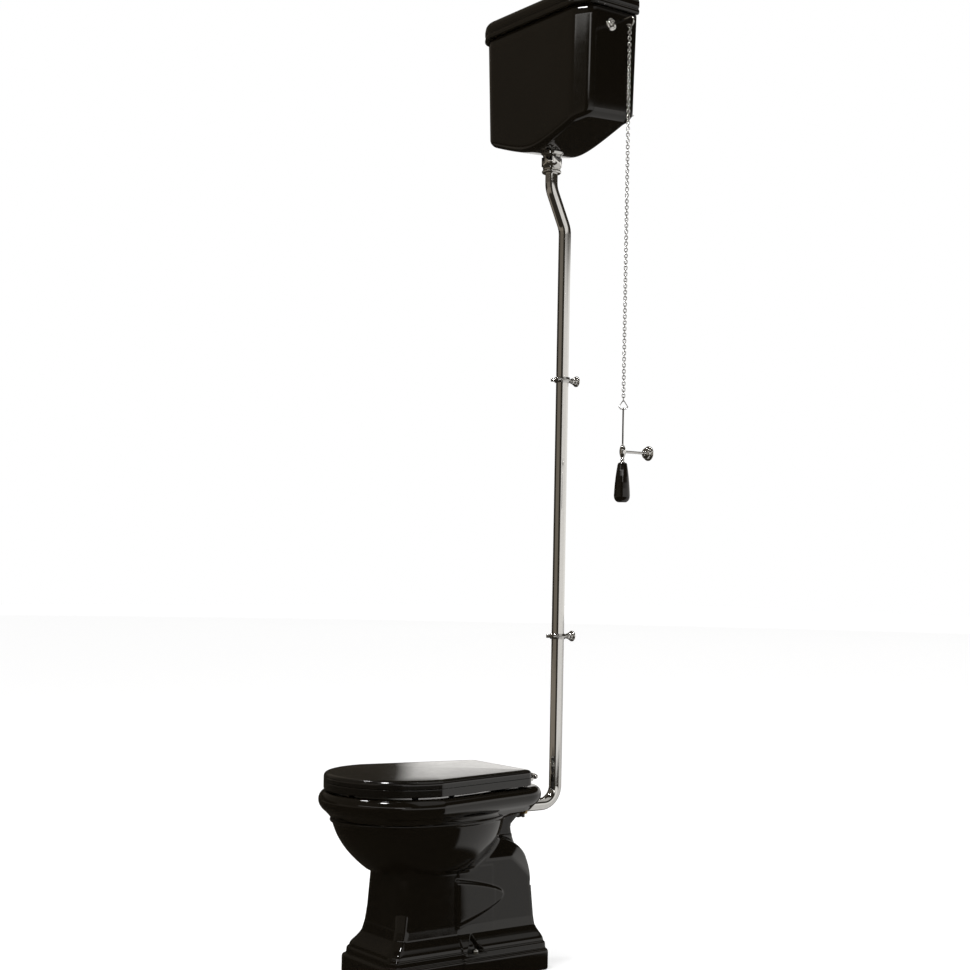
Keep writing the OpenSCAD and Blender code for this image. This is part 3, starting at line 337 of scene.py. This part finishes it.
def fit(piece, node):
    """Gives a piece its finish and lets it ride in place of a node of the frame."""
    slot = SLOT_OF[node]
    piece.data.materials.clear()
    piece.data.materials.append(FINISH[slot])
    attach(piece, BODY_OF[node])
    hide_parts(node)


# ------------------------------------------------------------------ pan: rim, deck and well

RIM_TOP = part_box("pan")[1].z / MM
RIM_POINTS = 400


def seat_outline(half_width, kink, tip, back_half_width, back, corner):
    """Half an ellipse in front, straight sides drawn in from a kink, and round back corners.
    It runs anticlockwise from the middle of the back."""
    t = np.linspace(np.pi, 2 * np.pi, 90)
    front = np.stack([half_width * np.cos(t), -kink + (tip - kink) * np.sin(t)], 1)
    turn = np.linspace(0, 1, 16)[:, None]
    corner_at = np.array([back_half_width, back])
    side = np.array([half_width, -kink]) - corner_at
    start = corner_at + side / np.linalg.norm(side) * corner
    end = corner_at - np.array([corner, 0])
    right = (1 - turn) ** 2 * start + 2 * turn * (1 - turn) * corner_at + turn**2 * end
    left = right[::-1] * [-1, 1]
    return evenly(np.vstack([[[0, back]], left, front, right]), RIM_POINTS)


def ellipse(half_width, half_length, middle_y):
    """An ellipse from the middle of its back, evenly spaced, anticlockwise."""
    t = np.linspace(np.pi / 2, 5 * np.pi / 2, 720, endpoint=False)
    plan = np.stack([half_width * np.cos(t), middle_y + half_length * np.sin(t)], 1)
    return evenly(plan, RIM_POINTS)


# The well from its lip down to the sump: half width, half length, middle and height from the rim
WELL = np.array([
    [137, 190, -95, 0], [132, 186, -95, -1.5], [128.5, 183, -95, -6], [128, 182, -95, -14],
    [131, 187, -92.5, -40], [134, 192, -90, -73], [126, 180, -87, -103], [108, 154, -84, -137],
    [78, 110, -82, -171], [60, 81, -86, -190], [50, 62, -90, -228], [42, 46, -96, -268],
    [33, 35, -99, -286], [18, 20, -99, -291]
])


def round_the_well(wall, top):
    """Rows of the well's shape let out by a wall, from below a height down to under the sump."""
    rows = WELL[WELL[:, 3] < top] + [wall, wall, 0, 0]
    return np.vstack([rows, rows[-1] - [0, 0, 0, wall]])


def pan_rim():
    """The rolled rim and deck swept round the seat's outline, and the well lofted down to its sump.
    Under the rim the piece is closed by a second skin round the well."""
    outline = seat_outline(180, 145, 329, 108, 201, 62)
    # How far out and how high: underside, roll and deck
    roll = through([
        [-27, -57], [-25, -56.4], [-21.5, -52.4], [-15.5, -46], [-8, -39.2], [-2.2, -30.8],
        [-0.2, -24], [0, -18], [-2, -11], [-6, -5], [-11, -1.4], [-17, -0.2], [-24, 0], [-32, 0]
    ], 5)
    roll = np.minimum(roll, 0)
    rings = [at_height(moved_out(outline, o), RIM_TOP + h) for o, h in roll]
    inner = [at_height(ellipse(a, b, y), RIM_TOP + h) for a, b, y, h in through(WELL, 5)]
    under = [at_height(ellipse(a, b, y), RIM_TOP + h) for a, b, y, h in round_the_well(2, -60)]
    deck = rings[-1]
    blend = [deck * (1 - t) + inner[0] * t for t in (0.2, 0.4, 0.6, 0.8)]
    skin = np.array(under[::-1] + rings + blend + inner)
    return lofted("pan_rim_and_well", skin[::-1][:, ::-1])


# ------------------------------------------------------------------ pan: pedestal

def soft_max(a, b, r):
    """The larger of two distances, with a round of about r where they cross."""
    h = np.maximum(r - np.abs(a - b), 0) / r
    return np.maximum(a, b) + h * h * r / 4


def soft_min(a, b, r):
    """The smaller of two distances, with a fillet of about r."""
    return -soft_max(-a, -b, r)


def smooth(t):
    """0 below 0, 1 above 1, and a soft step between."""
    t = np.clip(t, 0, 1)
    return t * t * (3 - 2 * t)


def bend(a, b, c, t):
    """Quadratic curve from a to c, drawn towards b."""
    return (1 - t) ** 2 * a + 2 * t * (1 - t) * b + t * t * c


# Outside of the bowl over its height: its half length, and a value from 1 at the foot to 0
BOWL_T = np.linspace(1, 0, 200)
BOWL_Z = bend(357, 297, 245, BOWL_T)
BOWL_L = bend(213, 203, 137, BOWL_T)
# Back of the trap housing: upright, then bent forward in an arch
ARCH_T = np.linspace(0, 1, 80)
ARCH_Z = np.concatenate([[0, 140], bend(205, 292, 304, ARCH_T), [306]])
ARCH_Y = np.concatenate([[179, 178], bend(174, 163, 76, ARCH_T), [-60]])
# The bead round the bowl's top and the cove above it: height and how far it stands out
BEAD = np.array([
    [354.5, 0], [356, 1.4], [357.5, 3.4], [359.5, 4], [362, 4], [363.6, 3], [364.8, 0.8],
    [366.5, 0], [369, 0.6], [372, 2.2], [376, 4.4]
])
# Back of the rib under the deck: height and y
RIB = np.array([
    [180, 172], [260, 168], [296, 157], [312, 152.6], [320, 151.6], [328, 153], [336, 162],
    [346, 173], [356, 177], [376, 177]
])
# Height, and how far the foot and column draw in at the sides, the front and the back
FOOT = np.array([
    [0, 2, 2, 2], [3, 0, 0, 0], [42, 0, 0, 0], [46, 1.6, 1.6, 0.7], [48.5, 6, 6.4, 2],
    [50, 7, 7.6, 2.5], [61, 7.6, 8.6, 3.3], [63.5, 9, 10, 4.2], [65, 11.4, 12.8, 5.2],
    [72, 12.8, 14.8, 6.3], [76, 14.8, 17.2, 7.3], [80, 17.8, 20.8, 8.6], [83, 20.2, 23.6, 9.8],
    [85, 21.8, 25.4, 10.8], [92, 26, 31, 14], [101, 30.4, 36.6, 17.6], [122, 33.4, 42.4, 20],
    [156, 36, 47, 22], [206, 37, 51, 27], [251, 37, 55, 40], [376, 37, 60, 60]
])
# The foot's half width and reach at the floor, and how far the column has drawn in at its top
FOOT_WIDTH, FOOT_FRONT, FOOT_BACK = 118.0, 233.0, 201.0
COLUMN_DRAWN_IN = 37
COLUMN_TOP = 249
PEDESTAL_TOP = 376
# The front half is narrower by a step. Its chamfer begins so far in from the side, and the
# chamfer's normal has these parts in x and -y.
FRONT_STEP, CHAMFER = 7, 20
CHAMFER_X, CHAMFER_Y = 0.515, 0.857
# Trap housing: half width at its ridge, where its arch begins and ends, and the bevel along it
HOUSING_RIDGE, HOUSING_LOW, HOUSING_TOP, HOUSING_FRONT = 81, 190, 305, -38
BEVEL, BEVEL_SLOPE, BEVEL_SHIFT, BEVEL_LENGTH = 44, 0.42, 0.31, 1.085
# Bowl: width over length, how far forward its middle is at the top and how much less at the
# foot, and the height of the foot
BOWL_RATIO, BOWL_MIDDLE, BOWL_MOVES, BOWL_LOW = 0.71, 90, 13, 243
RIB_HALF_WIDTH, RIB_FRONT = 32, -60
# Signed distance that stands for well inside
DEEP_INSIDE = -90


def pedestal_distance(x, y, z):
    """Signed distance, about: foot and column, bowl, trap housing and rib, joined by fillets."""
    x = np.abs(x)
    side, front, back = (np.interp(z, FOOT[:, 0], FOOT[:, k]) for k in (1, 2, 3))
    # Column: the front half is narrower by a small step, its corners are chamfered
    step = FRONT_STEP * (1 - side / COLUMN_DRAWN_IN)
    wide = FOOT_WIDTH - side
    fore = soft_max(x - (wide - step), -y - (FOOT_FRONT - front), 5)
    chamfer = (CHAMFER_X * (x - (wide - step - CHAMFER))
               + CHAMFER_Y * (-y - (FOOT_FRONT - front)))
    fore = soft_max(fore, chamfer, 5)
    fore = soft_max(fore, y - 60, 2)
    # Trap housing: its back bends forward in an arch, with a bevel that widens upwards
    bevel = BEVEL * smooth((z - HOUSING_LOW) / 70)
    aft = soft_max(x - wide, y - (FOOT_BACK - back + BEVEL_SHIFT * bevel), 9)
    aft = soft_max(aft, HOUSING_FRONT - y, 5)
    slope = np.interp(z, ARCH_Z[1:-1], np.gradient(ARCH_Y[1:-1], ARCH_Z[1:-1]))
    arch = (y - np.interp(z, ARCH_Z, ARCH_Y) - BEVEL_SHIFT * bevel) / np.sqrt(1 + slope**2)
    arch = soft_max(arch, z - HOUSING_TOP, 4)
    arch = np.where(z > HOUSING_LOW, arch, DEEP_INSIDE)
    side_bevel = (x - HOUSING_RIDGE + BEVEL_SLOPE * (arch + bevel)) / BEVEL_LENGTH
    aft = soft_max(soft_max(aft, arch, 9), side_bevel, 3)
    body = soft_min(soft_max(fore, z - COLUMN_TOP, 4), aft, 3)
    # Bowl: ellipses whose length follows one curve and whose middle moves forward as they rise
    length = np.interp(z, BOWL_Z, BOWL_L)
    rise = np.interp(z, BOWL_Z, BOWL_T)
    reach = np.sqrt((x / (BOWL_RATIO * length)) ** 2
                    + ((y + BOWL_MIDDLE - BOWL_MOVES * rise) / length) ** 2)
    bowl = (reach - 1) * BOWL_RATIO * length - np.interp(z, BEAD[:, 0], BEAD[:, 1])
    bowl = soft_max(bowl, (BOWL_LOW - z) * 0.9, 8)
    # Rib up to the deck
    rib = soft_max(x - RIB_HALF_WIDTH, y - np.interp(z, RIB[:, 0], RIB[:, 1]), 12)
    rib = soft_max(rib, RIB_FRONT - y, 4)
    body = soft_min(body, rib, 16)
    return soft_min(body, bowl, 9)


def rolled_off(distance):
    """About 1 within an edge and ever larger outside it, so that a height divided by it falls
    off smoothly."""
    return 1 + np.exp(np.clip(distance, -30, 30))


# The raised field on each side: height, tip, middle line's height and slope, and front end
FIELD_HEIGHT, FIELD_TIP, FIELD_MIDDLE, FIELD_SLOPE, FIELD_FRONT = 6, 91, 175, 0.065, -46


def relief(y, z):
    """Height of the raised field that the trap makes on each side: its half height grows as the
    0.6th power of the way forward from its tip, and its edge rolls down over a few millimetres."""
    half = 2.65 * np.maximum(FIELD_TIP - y, 0.1) ** 0.6
    across = np.abs(z - FIELD_MIDDLE - FIELD_SLOPE * (y - 22)) - half
    field = FIELD_HEIGHT / rolled_off(0.55 * across) / rolled_off(0.5 * (y - (FIELD_TIP - 2)))
    return field * smooth((y - FIELD_FRONT) / 6)


# The pocket over each floor screw: half width and height at its base, rise, and depth
POCKET_HALF, POCKET_LOW, POCKET_RISE, POCKET_DEPTH = 23, 62, 36, 15
SCREW_Y = -3


def pocket(y, z):
    """Depth of the scooped pocket over each floor screw: a triangle on its base."""
    up = (z - POCKET_LOW) / POCKET_RISE
    half = POCKET_HALF * (1 - up)
    ends = np.minimum(z - (POCKET_LOW - 1), POCKET_LOW + POCKET_RISE - z) * 1.2
    inside = np.minimum(half - np.abs(y - SCREW_Y), ends)
    return POCKET_DEPTH / (1 + np.exp(-(inside - 1.5) * 1.1))


# The upright axis that the pedestal is drawn round, and how far out its surface is looked for
AXIS_Y = -30
NEAREST, FARTHEST, HALVINGS = 5.0, 420.0, 22


def pedestal_radius(turn, z):
    """Distance from the upright axis to the surface, found by halving an interval."""
    ux, uy = np.cos(turn), np.sin(turn)
    near, far = (np.full(np.broadcast(turn, z).shape, r) for r in (NEAREST, FARTHEST))
    for _ in range(HALVINGS):
        middle = (near + far) / 2
        inside = pedestal_distance(middle * ux, middle * uy + AXIS_Y, z) < 0
        near, far = np.where(inside, middle, near), np.where(inside, far, middle)
    radius = (near + far) / 2
    y = radius * uy + AXIS_Y
    # Field and pocket are on the two sides, the field only on the housing, not on the bowl
    at_side = np.abs(ux) > 0.4
    on_housing = np.abs(radius * ux) < 96
    radius = radius + np.where(at_side, relief(y, z) * on_housing, 0)
    return radius - np.where(at_side, pocket(y, z), 0)


PEDESTAL_COLUMNS, PEDESTAL_ROWS = 460, 225


def pan_pedestal():
    """The pedestal as a radius over angle and height. Rows crowd where the radius changes."""
    turn = np.arange(PEDESTAL_COLUMNS)[None, :] * 2 * np.pi / PEDESTAL_COLUMNS
    fine = np.linspace(0, PEDESTAL_TOP, 2 * PEDESTAL_TOP + 1)[:, None]
    rough = pedestal_radius(turn[:, ::8], fine)
    run = np.sqrt(np.diff(fine, axis=0) ** 2 + (np.diff(rough, axis=0) * 0.7) ** 2).max(1)
    at = np.linspace(0, run.sum(), PEDESTAL_ROWS)
    height = np.interp(at, np.concatenate([[0], np.cumsum(run)]), fine[:, 0])[:, None]
    radius = pedestal_radius(turn, height)
    skin = np.stack([radius * np.cos(turn), radius * np.sin(turn) + AXIS_Y,
                     np.broadcast_to(height, radius.shape)], -1)
    # Foot's underside: a band on the floor, then a hollow with a ceiling
    sole = skin[0]
    axis = np.array([0, AXIS_Y, 0])
    inner = [axis + (sole - axis) * s + [0, 0, h]
             for s, h in ((0.84, 0), (0.83, 1), (0.82, 54), (0.80, 56))]
    # Inside the rim it turns in and goes down round the well
    turn = turn[0]
    down = [at_height(np.stack([a * np.cos(turn), y + b * np.sin(turn)], 1),
                      min(RIM_TOP + h, PEDESTAL_TOP))
            for a, b, y, h in round_the_well(4, -39)]
    return lofted("pan_pedestal", np.concatenate([np.array(inner[::-1]), skin, np.array(down)]))


def inlet_horn():
    """Short spout at the back that takes the flush pipe: outside, rolled mouth and bore."""
    profile = through([
        [25, 0], [25, 30], [25.2, 44], [26.6, 50], [26.4, 54.5], [24, 56], [21, 55.4],
        [20.2, 52], [20, 30], [20, 24]
    ], 4)
    return lofted("pan_inlet_horn", turned(profile, (0, 140, 362), "Y", 72))


def make_pan():
    """The casting in four pieces: rim with well, pedestal, inlet horn and soil spigot."""
    for piece in (pan_rim(), pan_pedestal(), inlet_horn()):
        fit(tidy(piece), "pan")
    spigot = turned([[37, 60], [37, 2], [39, 0], [49, 0], [51, 2], [51, 60]], (0, 115, 0))
    fit(tidy(lofted("pan_soil_spigot", spigot, wrap=True), sharp=40), "pan")


def make_floor_screws():
    """Domed heads of the two floor screws, in the pockets at the sides of the foot."""
    dome = through([[0, 6.4], [3, 5.9], [5.4, 4.2], [6.6, 1.6], [6.7, -1], [6.7, -6]], 4)
    dome = np.clip(dome, [0, -6], [6.7, 6.4])[::-1]
    for side, name in ((-1, "left"), (1, "right")):
        rings = turned(dome, (side * 105, SCREW_Y, 64), around=32)
        piece = tidy(lofted("floor_screw_" + name, rings))
        piece.data.materials.append(FINISH["chrome"])
        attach(piece, BODY_OF["pan"])


# ------------------------------------------------------------------ seat

RING_THICK, LID_THICK, LID_CROWN = 17, 18, 6


def seat_plan(out):
    """Outline of the seat ring and lid, inside the rim's, moved out by a distance."""
    return moved_out(seat_outline(169, 145, 318, 114, 147, 14), out)


def kept_within(profile, thick):
    """A profile of how far out and how high, held inside the outline and the thickness."""
    return np.clip(profile, [-99, 0], [0, thick])


def make_seat():
    """Ring and lid: an edge profile swept round the seat's outline."""
    ring_z, cover_z = (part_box(n)[0].z / MM for n in ("ring_seat", "seat_cover"))
    edge = through([
        [-5, 0], [-1.6, 0.1], [-0.3, 0.9], [0, 3], [0, 9], [0, 15.6], [-0.2, 16.7],
        [-0.8, RING_THICK], [-14, RING_THICK]
    ], 4)
    outer = [at_height(seat_plan(o), ring_z + h) for o, h in kept_within(edge, RING_THICK)]
    lip = through([[14, RING_THICK], [7, 16], [2.4, 12.6], [0, 8], [1.5, 2.4], [5, 0]], 4)
    inner = [at_height(ellipse(112 + o, 150 + o, -108), ring_z + h)
             for o, h in np.clip(lip, 0, RING_THICK)]
    fit(tidy(lofted("seat_ring", outer + inner, wrap=True)), "ring_seat")
    # Lid: straight side, round arris, and a low crown drawn in to its middle
    edge = through([
        [-5, 0], [-0.8, 0], [-0.1, 0.3], [0, 1.6], [0, 8.6], [-0.5, 11.6], [-1.8, 14],
        [-4.4, 16.5], [-9, LID_THICK]
    ], 6)
    rows = [at_height(seat_plan(o), cover_z + h) for o, h in kept_within(edge, LID_THICK)]
    middle, last = np.array([0, -85]), seat_plan(-9)
    for s in np.linspace(0.97, 0.05, 24):
        height = LID_THICK + LID_CROWN * (1 - s * s)
        rows.append(at_height(middle + s * (last - middle), cover_z + height))
    under = at_height(middle + 0.5 * (seat_plan(-5) - middle), cover_z)
    fit(tidy(lofted("seat_lid", [under] + rows)), "seat_cover")


# ------------------------------------------------------------------ tank

WALL = 350.0
TANK_TOP = 2240.0
TANK_FLOOR = 1931.0
TANK_POINTS = 360


def tank_outline(half_width, depth):
    """Plan of the tank: against the wall, with chamfered and eased front corners."""
    f = WALL - depth
    corners = [[-half_width, WALL], [-half_width, f + 25], [-half_width + 39, f],
               [half_width - 39, f], [half_width, f + 25], [half_width, WALL]]
    return rounded(corners, [5, 26, 34, 34, 26, 5], TANK_POINTS)


def keel(x, y):
    """Underside of the tank: a round keel that rises to both sides and to the wall."""
    return TANK_FLOOR + 0.36 * (np.hypot(x, 56) - 56) + 10 * (y - WALL + 164) / 164


def tank_rows(inset, edge, top):
    """Rows of the tank's skin from the middle of its underside to a height, inset by a wall.
    The underside rolls up into the sides with a round of the size of edge."""
    rows = []
    low = moved_out(tank_outline(194, 160), -inset)
    middle = np.array([0, 260.0])
    flat = moved_out(low, -edge)
    for s in (0.04, 0.15, 0.3, 0.45, 0.6, 0.75, 0.9):
        plan = middle + (flat - middle) * s
        rows.append(at_height(plan, keel(plan[:, 0], plan[:, 1]) + inset))
    for a in np.radians(np.linspace(0, 90, 9)):
        plan = moved_out(low, -edge * (1 - math.sin(a)))
        base = keel(plan[:, 0], plan[:, 1]) + inset
        rows.append(at_height(plan, base + edge * (1 - math.cos(a))))
    high = moved_out(tank_outline(202, 164), -inset)
    start = rows[-1]
    for t in np.linspace(0, 1, 12)[1:]:
        rows.append(start * (1 - t) + at_height(high, top) * t)
    return rows


def make_tank():
    """The tank's outside, its eased rim and its inside as one skin."""
    outer = tank_rows(0, 16, TANK_TOP - 2)
    inner = tank_rows(9, 12, TANK_TOP - 2)
    rim = [at_height(tank_outline(*plan), TANK_TOP) for plan in ((200.8, 162.8), (195, 157))]
    rows = np.array(outer + rim + inner[::-1])
    rows[:, :, 1] = np.minimum(rows[:, :, 1], WALL)
    fit(tidy(lofted("tank_shell", rows)), "cistern")


def make_tank_lid():
    """The lid's moulding swept round the tank's outline: bead, groove, roll and shallow dome."""
    base = tank_outline(202, 164)

    def row(out, height, size=1.0):
        plan = moved_out(base, out)
        plan[:, 1] = np.minimum(plan[:, 1], WALL - 2)
        plan = np.array([0, 266.0]) + (plan - [0, 266.0]) * size
        return at_height(plan, TANK_TOP + height)

    hollow = through([
        [-30, 31], [-24, 26], [-19, 8], [-18, -8], [-16.5, -10], [-12.5, -10], [-11, -8],
        [-11, -0.2], [-8, 0.3]
    ], 3)
    inside = [row(-30, 32, s) for s in (0.1, 0.6)] + [row(o, h) for o, h in hollow]
    moulding = through([
        [4, 0.3], [7.5, 0.8], [9.7, 3.4], [10, 7], [9.2, 10.6], [7.2, 12.6], [7.4, 14.2],
        [9.4, 16.8], [10, 21], [10, 27], [9, 32], [6, 37.5], [1, 42.5], [-6, 46.8], [-16, 50],
        [-26, 51.6]
    ], 4)
    moulding[:, 0] = np.minimum(moulding[:, 0], 10)
    outside = [row(o, h) for o, h in moulding]
    dome = [row(-26, 51.6 + 3.4 * (1 - s**2), s) for s in (0.85, 0.65, 0.45, 0.25, 0.08)]
    fit(tidy(lofted("tank_lid", inside + outside + dome)), "cistern_lid")


# ------------------------------------------------------------------ fittings carried over

def carried_over(node):
    """A merged copy of a node of the frame, smooth where it curves and sharp at its edges."""
    source = frame["nodes"][node]
    piece = bpy.data.objects.new(node + "_made", source.data.copy())
    bpy.context.scene.collection.objects.link(piece)
    fit(tidy(piece, sharp=38), node)


# ------------------------------------------------------------------ room

def panel(v, low, high, soft):
    """1 between low and high, falling to 0 outside over a soft edge."""
    return smooth(np.minimum(v - low, high - v) / soft + 0.5)


def swing(bearing):
    """A bearing from 0 to 360 as one from -180 to 180."""
    return (bearing + 180) % 360 - 180


def gloss_only(piece):
    """A stage piece that only shows in the gloss of other pieces."""
    piece.visible_camera = piece.visible_diffuse = piece.visible_shadow = False
    piece.visible_transmission = piece.visible_volume_scatter = False


def shaded(name, rings, shade):
    """An open skin that glows by the shade worked out for each of its points."""
    rings, shade = np.asarray(rings, float), np.asarray(shade, float)
    k, n = rings.shape[:2]
    piece = mesh_of(name, rings.reshape(-1, 3) / MM, grid_faces(k, n))
    tone = piece.data.color_attributes.new("tone", "FLOAT_COLOR", "POINT")
    tone.data.foreach_set("color", np.dstack([shade, np.ones((k, n))]).astype(np.float32).ravel())
    material = bpy.data.materials.new(name)
    material.use_nodes = True
    tree = material.node_tree
    tree.nodes.remove(tree.nodes["Principled BSDF"])
    read = tree.nodes.new("ShaderNodeVertexColor")
    read.layer_name = "tone"
    glow = tree.nodes.new("ShaderNodeEmission")
    tree.links.new(read.outputs["Color"], glow.inputs["Color"])
    tree.links.new(glow.outputs["Emission"], tree.nodes["Material Output"].inputs["Surface"])
    piece.data.materials.append(material)
    gloss_only(piece)


# Tones of the glowing sheets seen only in gloss, which paint the reflections: dark, dim and pale
DARK = np.array([0.03, 0.026, 0.02])
FRONT = np.array([0.13, 0.115, 0.095])
PALE = np.array([0.9, 0.885, 0.86])
# Painted reflection panels in the glowing dome: bearing from, to and soft edge, height from, to and
# soft edge, strength and tone. The last two are a low wide one and a tall narrow one, painted
# reflections on the tank's corner.
REFLECTION_PANELS = (
    (230, 296, 6, -10, 12, 4, 1.1, FRONT),
    (0, 80, 10, 36, 80, 10, 0.5, PALE),
    (152, 300, 10, 12, 60, 4, 0.5, FRONT),
    (52, 146.2, 0.9, -10, 13, 3, 1.0, PALE),
    (-28, 52, 1, -10, 12, 5, 0.9, PALE),
    (268, 345, 1.5, 18.3, 21, 0.6, 2.6, PALE),
    (322, 336, 2, 15, 19, 1, 2.6, PALE),
)
# Distance in metres to the glowing dome of painted reflections and to the edge of the glowing sheet
# on the floor
GLOW_DISTANCE = 25


def make_reflection_glow():
    """A glowing dome round the object, seen only in the gloss of other pieces: painted reflections
    of dark cloth with pale panels in it, as glossy black pieces are photographed. Its tone is a
    function of bearing and height in degrees, bearing 0 along +X."""
    bearing = np.arange(0, 360, 1.0)[None, :]
    height = np.concatenate([np.arange(-4, 50, 0.5), np.arange(50, 89, 2.0)])[:, None]
    tone = DARK + 0 * (bearing + height)[..., None]
    for left, right, soft, low, high, soft_up, strength, colour in REFLECTION_PANELS:
        way = swing(bearing) if left <= 0 else bearing
        shape = panel(way, left, right, soft) * panel(height, low, high, soft_up)
        tone = tone + shape[..., None] * strength * colour
    b, h = np.radians(bearing), np.radians(height)
    way = np.stack([np.cos(h) * np.cos(b), np.cos(h) * np.sin(b), np.sin(h) + 0 * b], -1)
    shaded("reflection_glow_dome", GLOW_DISTANCE * way + [0, 0, 1], tone)
    # A glowing sheet on the floor, seen only in gloss: dark painted reflection, but for a pale
    # wedge between two lines from the pedestal
    out = np.geomspace(0.02, GLOW_DISTANCE, 90)[:, None]
    x, y = out * np.cos(b), out * np.sin(b)
    near, far = math.radians(35.5), math.radians(105)
    side = np.maximum((x - 0.09) * math.sin(near) - (y + 0.02) * math.cos(near),
                      y * math.cos(far) - x * math.sin(far))
    # Dark painted reflection to one side of the wedge, and a painted shadow of the object out to
    # 0.34 to 0.44 m from it
    painted_dark_and_shadow = np.maximum(smooth(side / (0.02 + 0.03 * out) + 0.5),
                       1 - smooth((out - 0.34) / 0.1))[..., None]
    # Far out, painted reflection bands: a dim one and a pale one
    far_out = smooth((out - 4) / 1.2)
    tone = painted_dark_and_shadow * DARK + (1 - painted_dark_and_shadow) * 0.7 * PALE
    tone = tone + (far_out * panel(bearing, 190, 300, 10))[..., None] * 1.5 * FRONT
    tone = np.maximum(tone, (far_out * panel(swing(bearing), -28, 60, 4))[..., None] * 0.9 * PALE)
    shaded("floor_reflection_glow", np.stack([x, y, 0.001 + 0 * x], -1), tone)


# Height in metres that the lamps are aimed at, and their distance from there
LAMP_AIM, LAMP_DISTANCE = 0.45, 4.5


def soft_lamp(name, bearing, height, size, power):
    """A square lamp aimed at the seat. Bearing and height are in degrees."""
    data = bpy.data.lights.new(name, "AREA")
    data.size, data.energy = size, power
    lamp = bpy.data.objects.new(name, data)
    b, h = math.radians(bearing), math.radians(height)
    way = np.array([math.cos(h) * math.cos(b), math.cos(h) * math.sin(b), math.sin(h)])
    lamp.matrix_world = (
        Matrix.Translation(np.array([0, 0, LAMP_AIM]) + LAMP_DISTANCE * way)
        @ Matrix.Rotation(b + math.pi / 2, 4, "Z")
        @ Matrix.Rotation(math.pi / 2 - h, 4, "X")
    )
    bpy.context.scene.collection.objects.link(lamp)


def shown(tree):
    """1 for what the camera, gloss and glass see, 0 for light that falls on the object."""
    path = tree.nodes.new("ShaderNodeLightPath")
    value = path.outputs["Is Camera Ray"]
    for name in ("Is Glossy Ray", "Is Transmission Ray"):
        more = tree.nodes.new("ShaderNodeMath")
        more.operation = "MAXIMUM"
        tree.links.new(value, more.inputs[0])
        tree.links.new(path.outputs[name], more.inputs[1])
        value = more.outputs[0]
    return value


# The floor's side in metres, its tone, and the glow that makes it pale to the camera and in gloss
FLOOR_SIZE, FLOOR_TONE, FLOOR_GLOW = 60, (0.8, 0.8, 0.8), 0.42
# Strength of the world's light on the object, and as the camera and polished pieces see it
WORLD_LIGHT, WORLD_SEEN = 0.75, 1.0
WHITE = (1, 1, 1, 1)


def make_room():
    """Pale floor that keeps the shadow, white surroundings, and soft lamps."""
    bpy.ops.mesh.primitive_plane_add(size=FLOOR_SIZE)
    floor = bpy.context.object
    floor.name = "floor"
    material = bpy.data.materials.new("pale_floor")
    material.use_nodes = True
    tree = material.node_tree
    shader = tree.nodes["Principled BSDF"]
    shader.inputs["Base Color"].default_value = (*FLOOR_TONE, 1)
    shader.inputs["Roughness"].default_value = 0.9
    glow = tree.nodes.new("ShaderNodeEmission")
    lift = tree.nodes.new("ShaderNodeMath")
    lift.operation = "MULTIPLY"
    lift.inputs[1].default_value = FLOOR_GLOW
    tree.links.new(shown(tree), lift.inputs[0])
    tree.links.new(lift.outputs[0], glow.inputs["Strength"])
    both = tree.nodes.new("ShaderNodeAddShader")
    tree.links.new(shader.outputs[0], both.inputs[0])
    tree.links.new(glow.outputs[0], both.inputs[1])
    tree.links.new(both.outputs[0], tree.nodes["Material Output"].inputs["Surface"])
    floor.data.materials.append(material)
    # World: even light, white where the camera and polished pieces see it
    world = bpy.data.worlds.new("studio")
    bpy.context.scene.world = world
    world.use_nodes = True
    tree = world.node_tree
    light = tree.nodes["Background"]
    light.inputs["Color"].default_value = WHITE
    light.inputs["Strength"].default_value = WORLD_LIGHT
    white = tree.nodes.new("ShaderNodeBackground")
    white.inputs["Color"].default_value = WHITE
    white.inputs["Strength"].default_value = WORLD_SEEN
    mix = tree.nodes.new("ShaderNodeMixShader")
    tree.links.new(shown(tree), mix.inputs["Fac"])
    tree.links.new(light.outputs[0], mix.inputs[1])
    tree.links.new(white.outputs[0], mix.inputs[2])
    tree.links.new(mix.outputs[0], tree.nodes["World Output"].inputs["Surface"])
    soft_lamp("lamp_right", -70, 64, 0.5, 50)
    soft_lamp("lamp_left", -145, 64, 0.4, 30)
    make_reflection_glow()


make_pan()
make_floor_screws()
make_seat()
make_tank()
make_tank_lid()
STAND_INS = {"pan", "ring_seat", "seat_cover", "cistern", "cistern_lid"}
for name in sorted(BODY_OF):
    if name not in STAND_INS:
        carried_over(name)
make_room()

scene = bpy.context.scene
scene.view_settings.view_transform = "Standard"
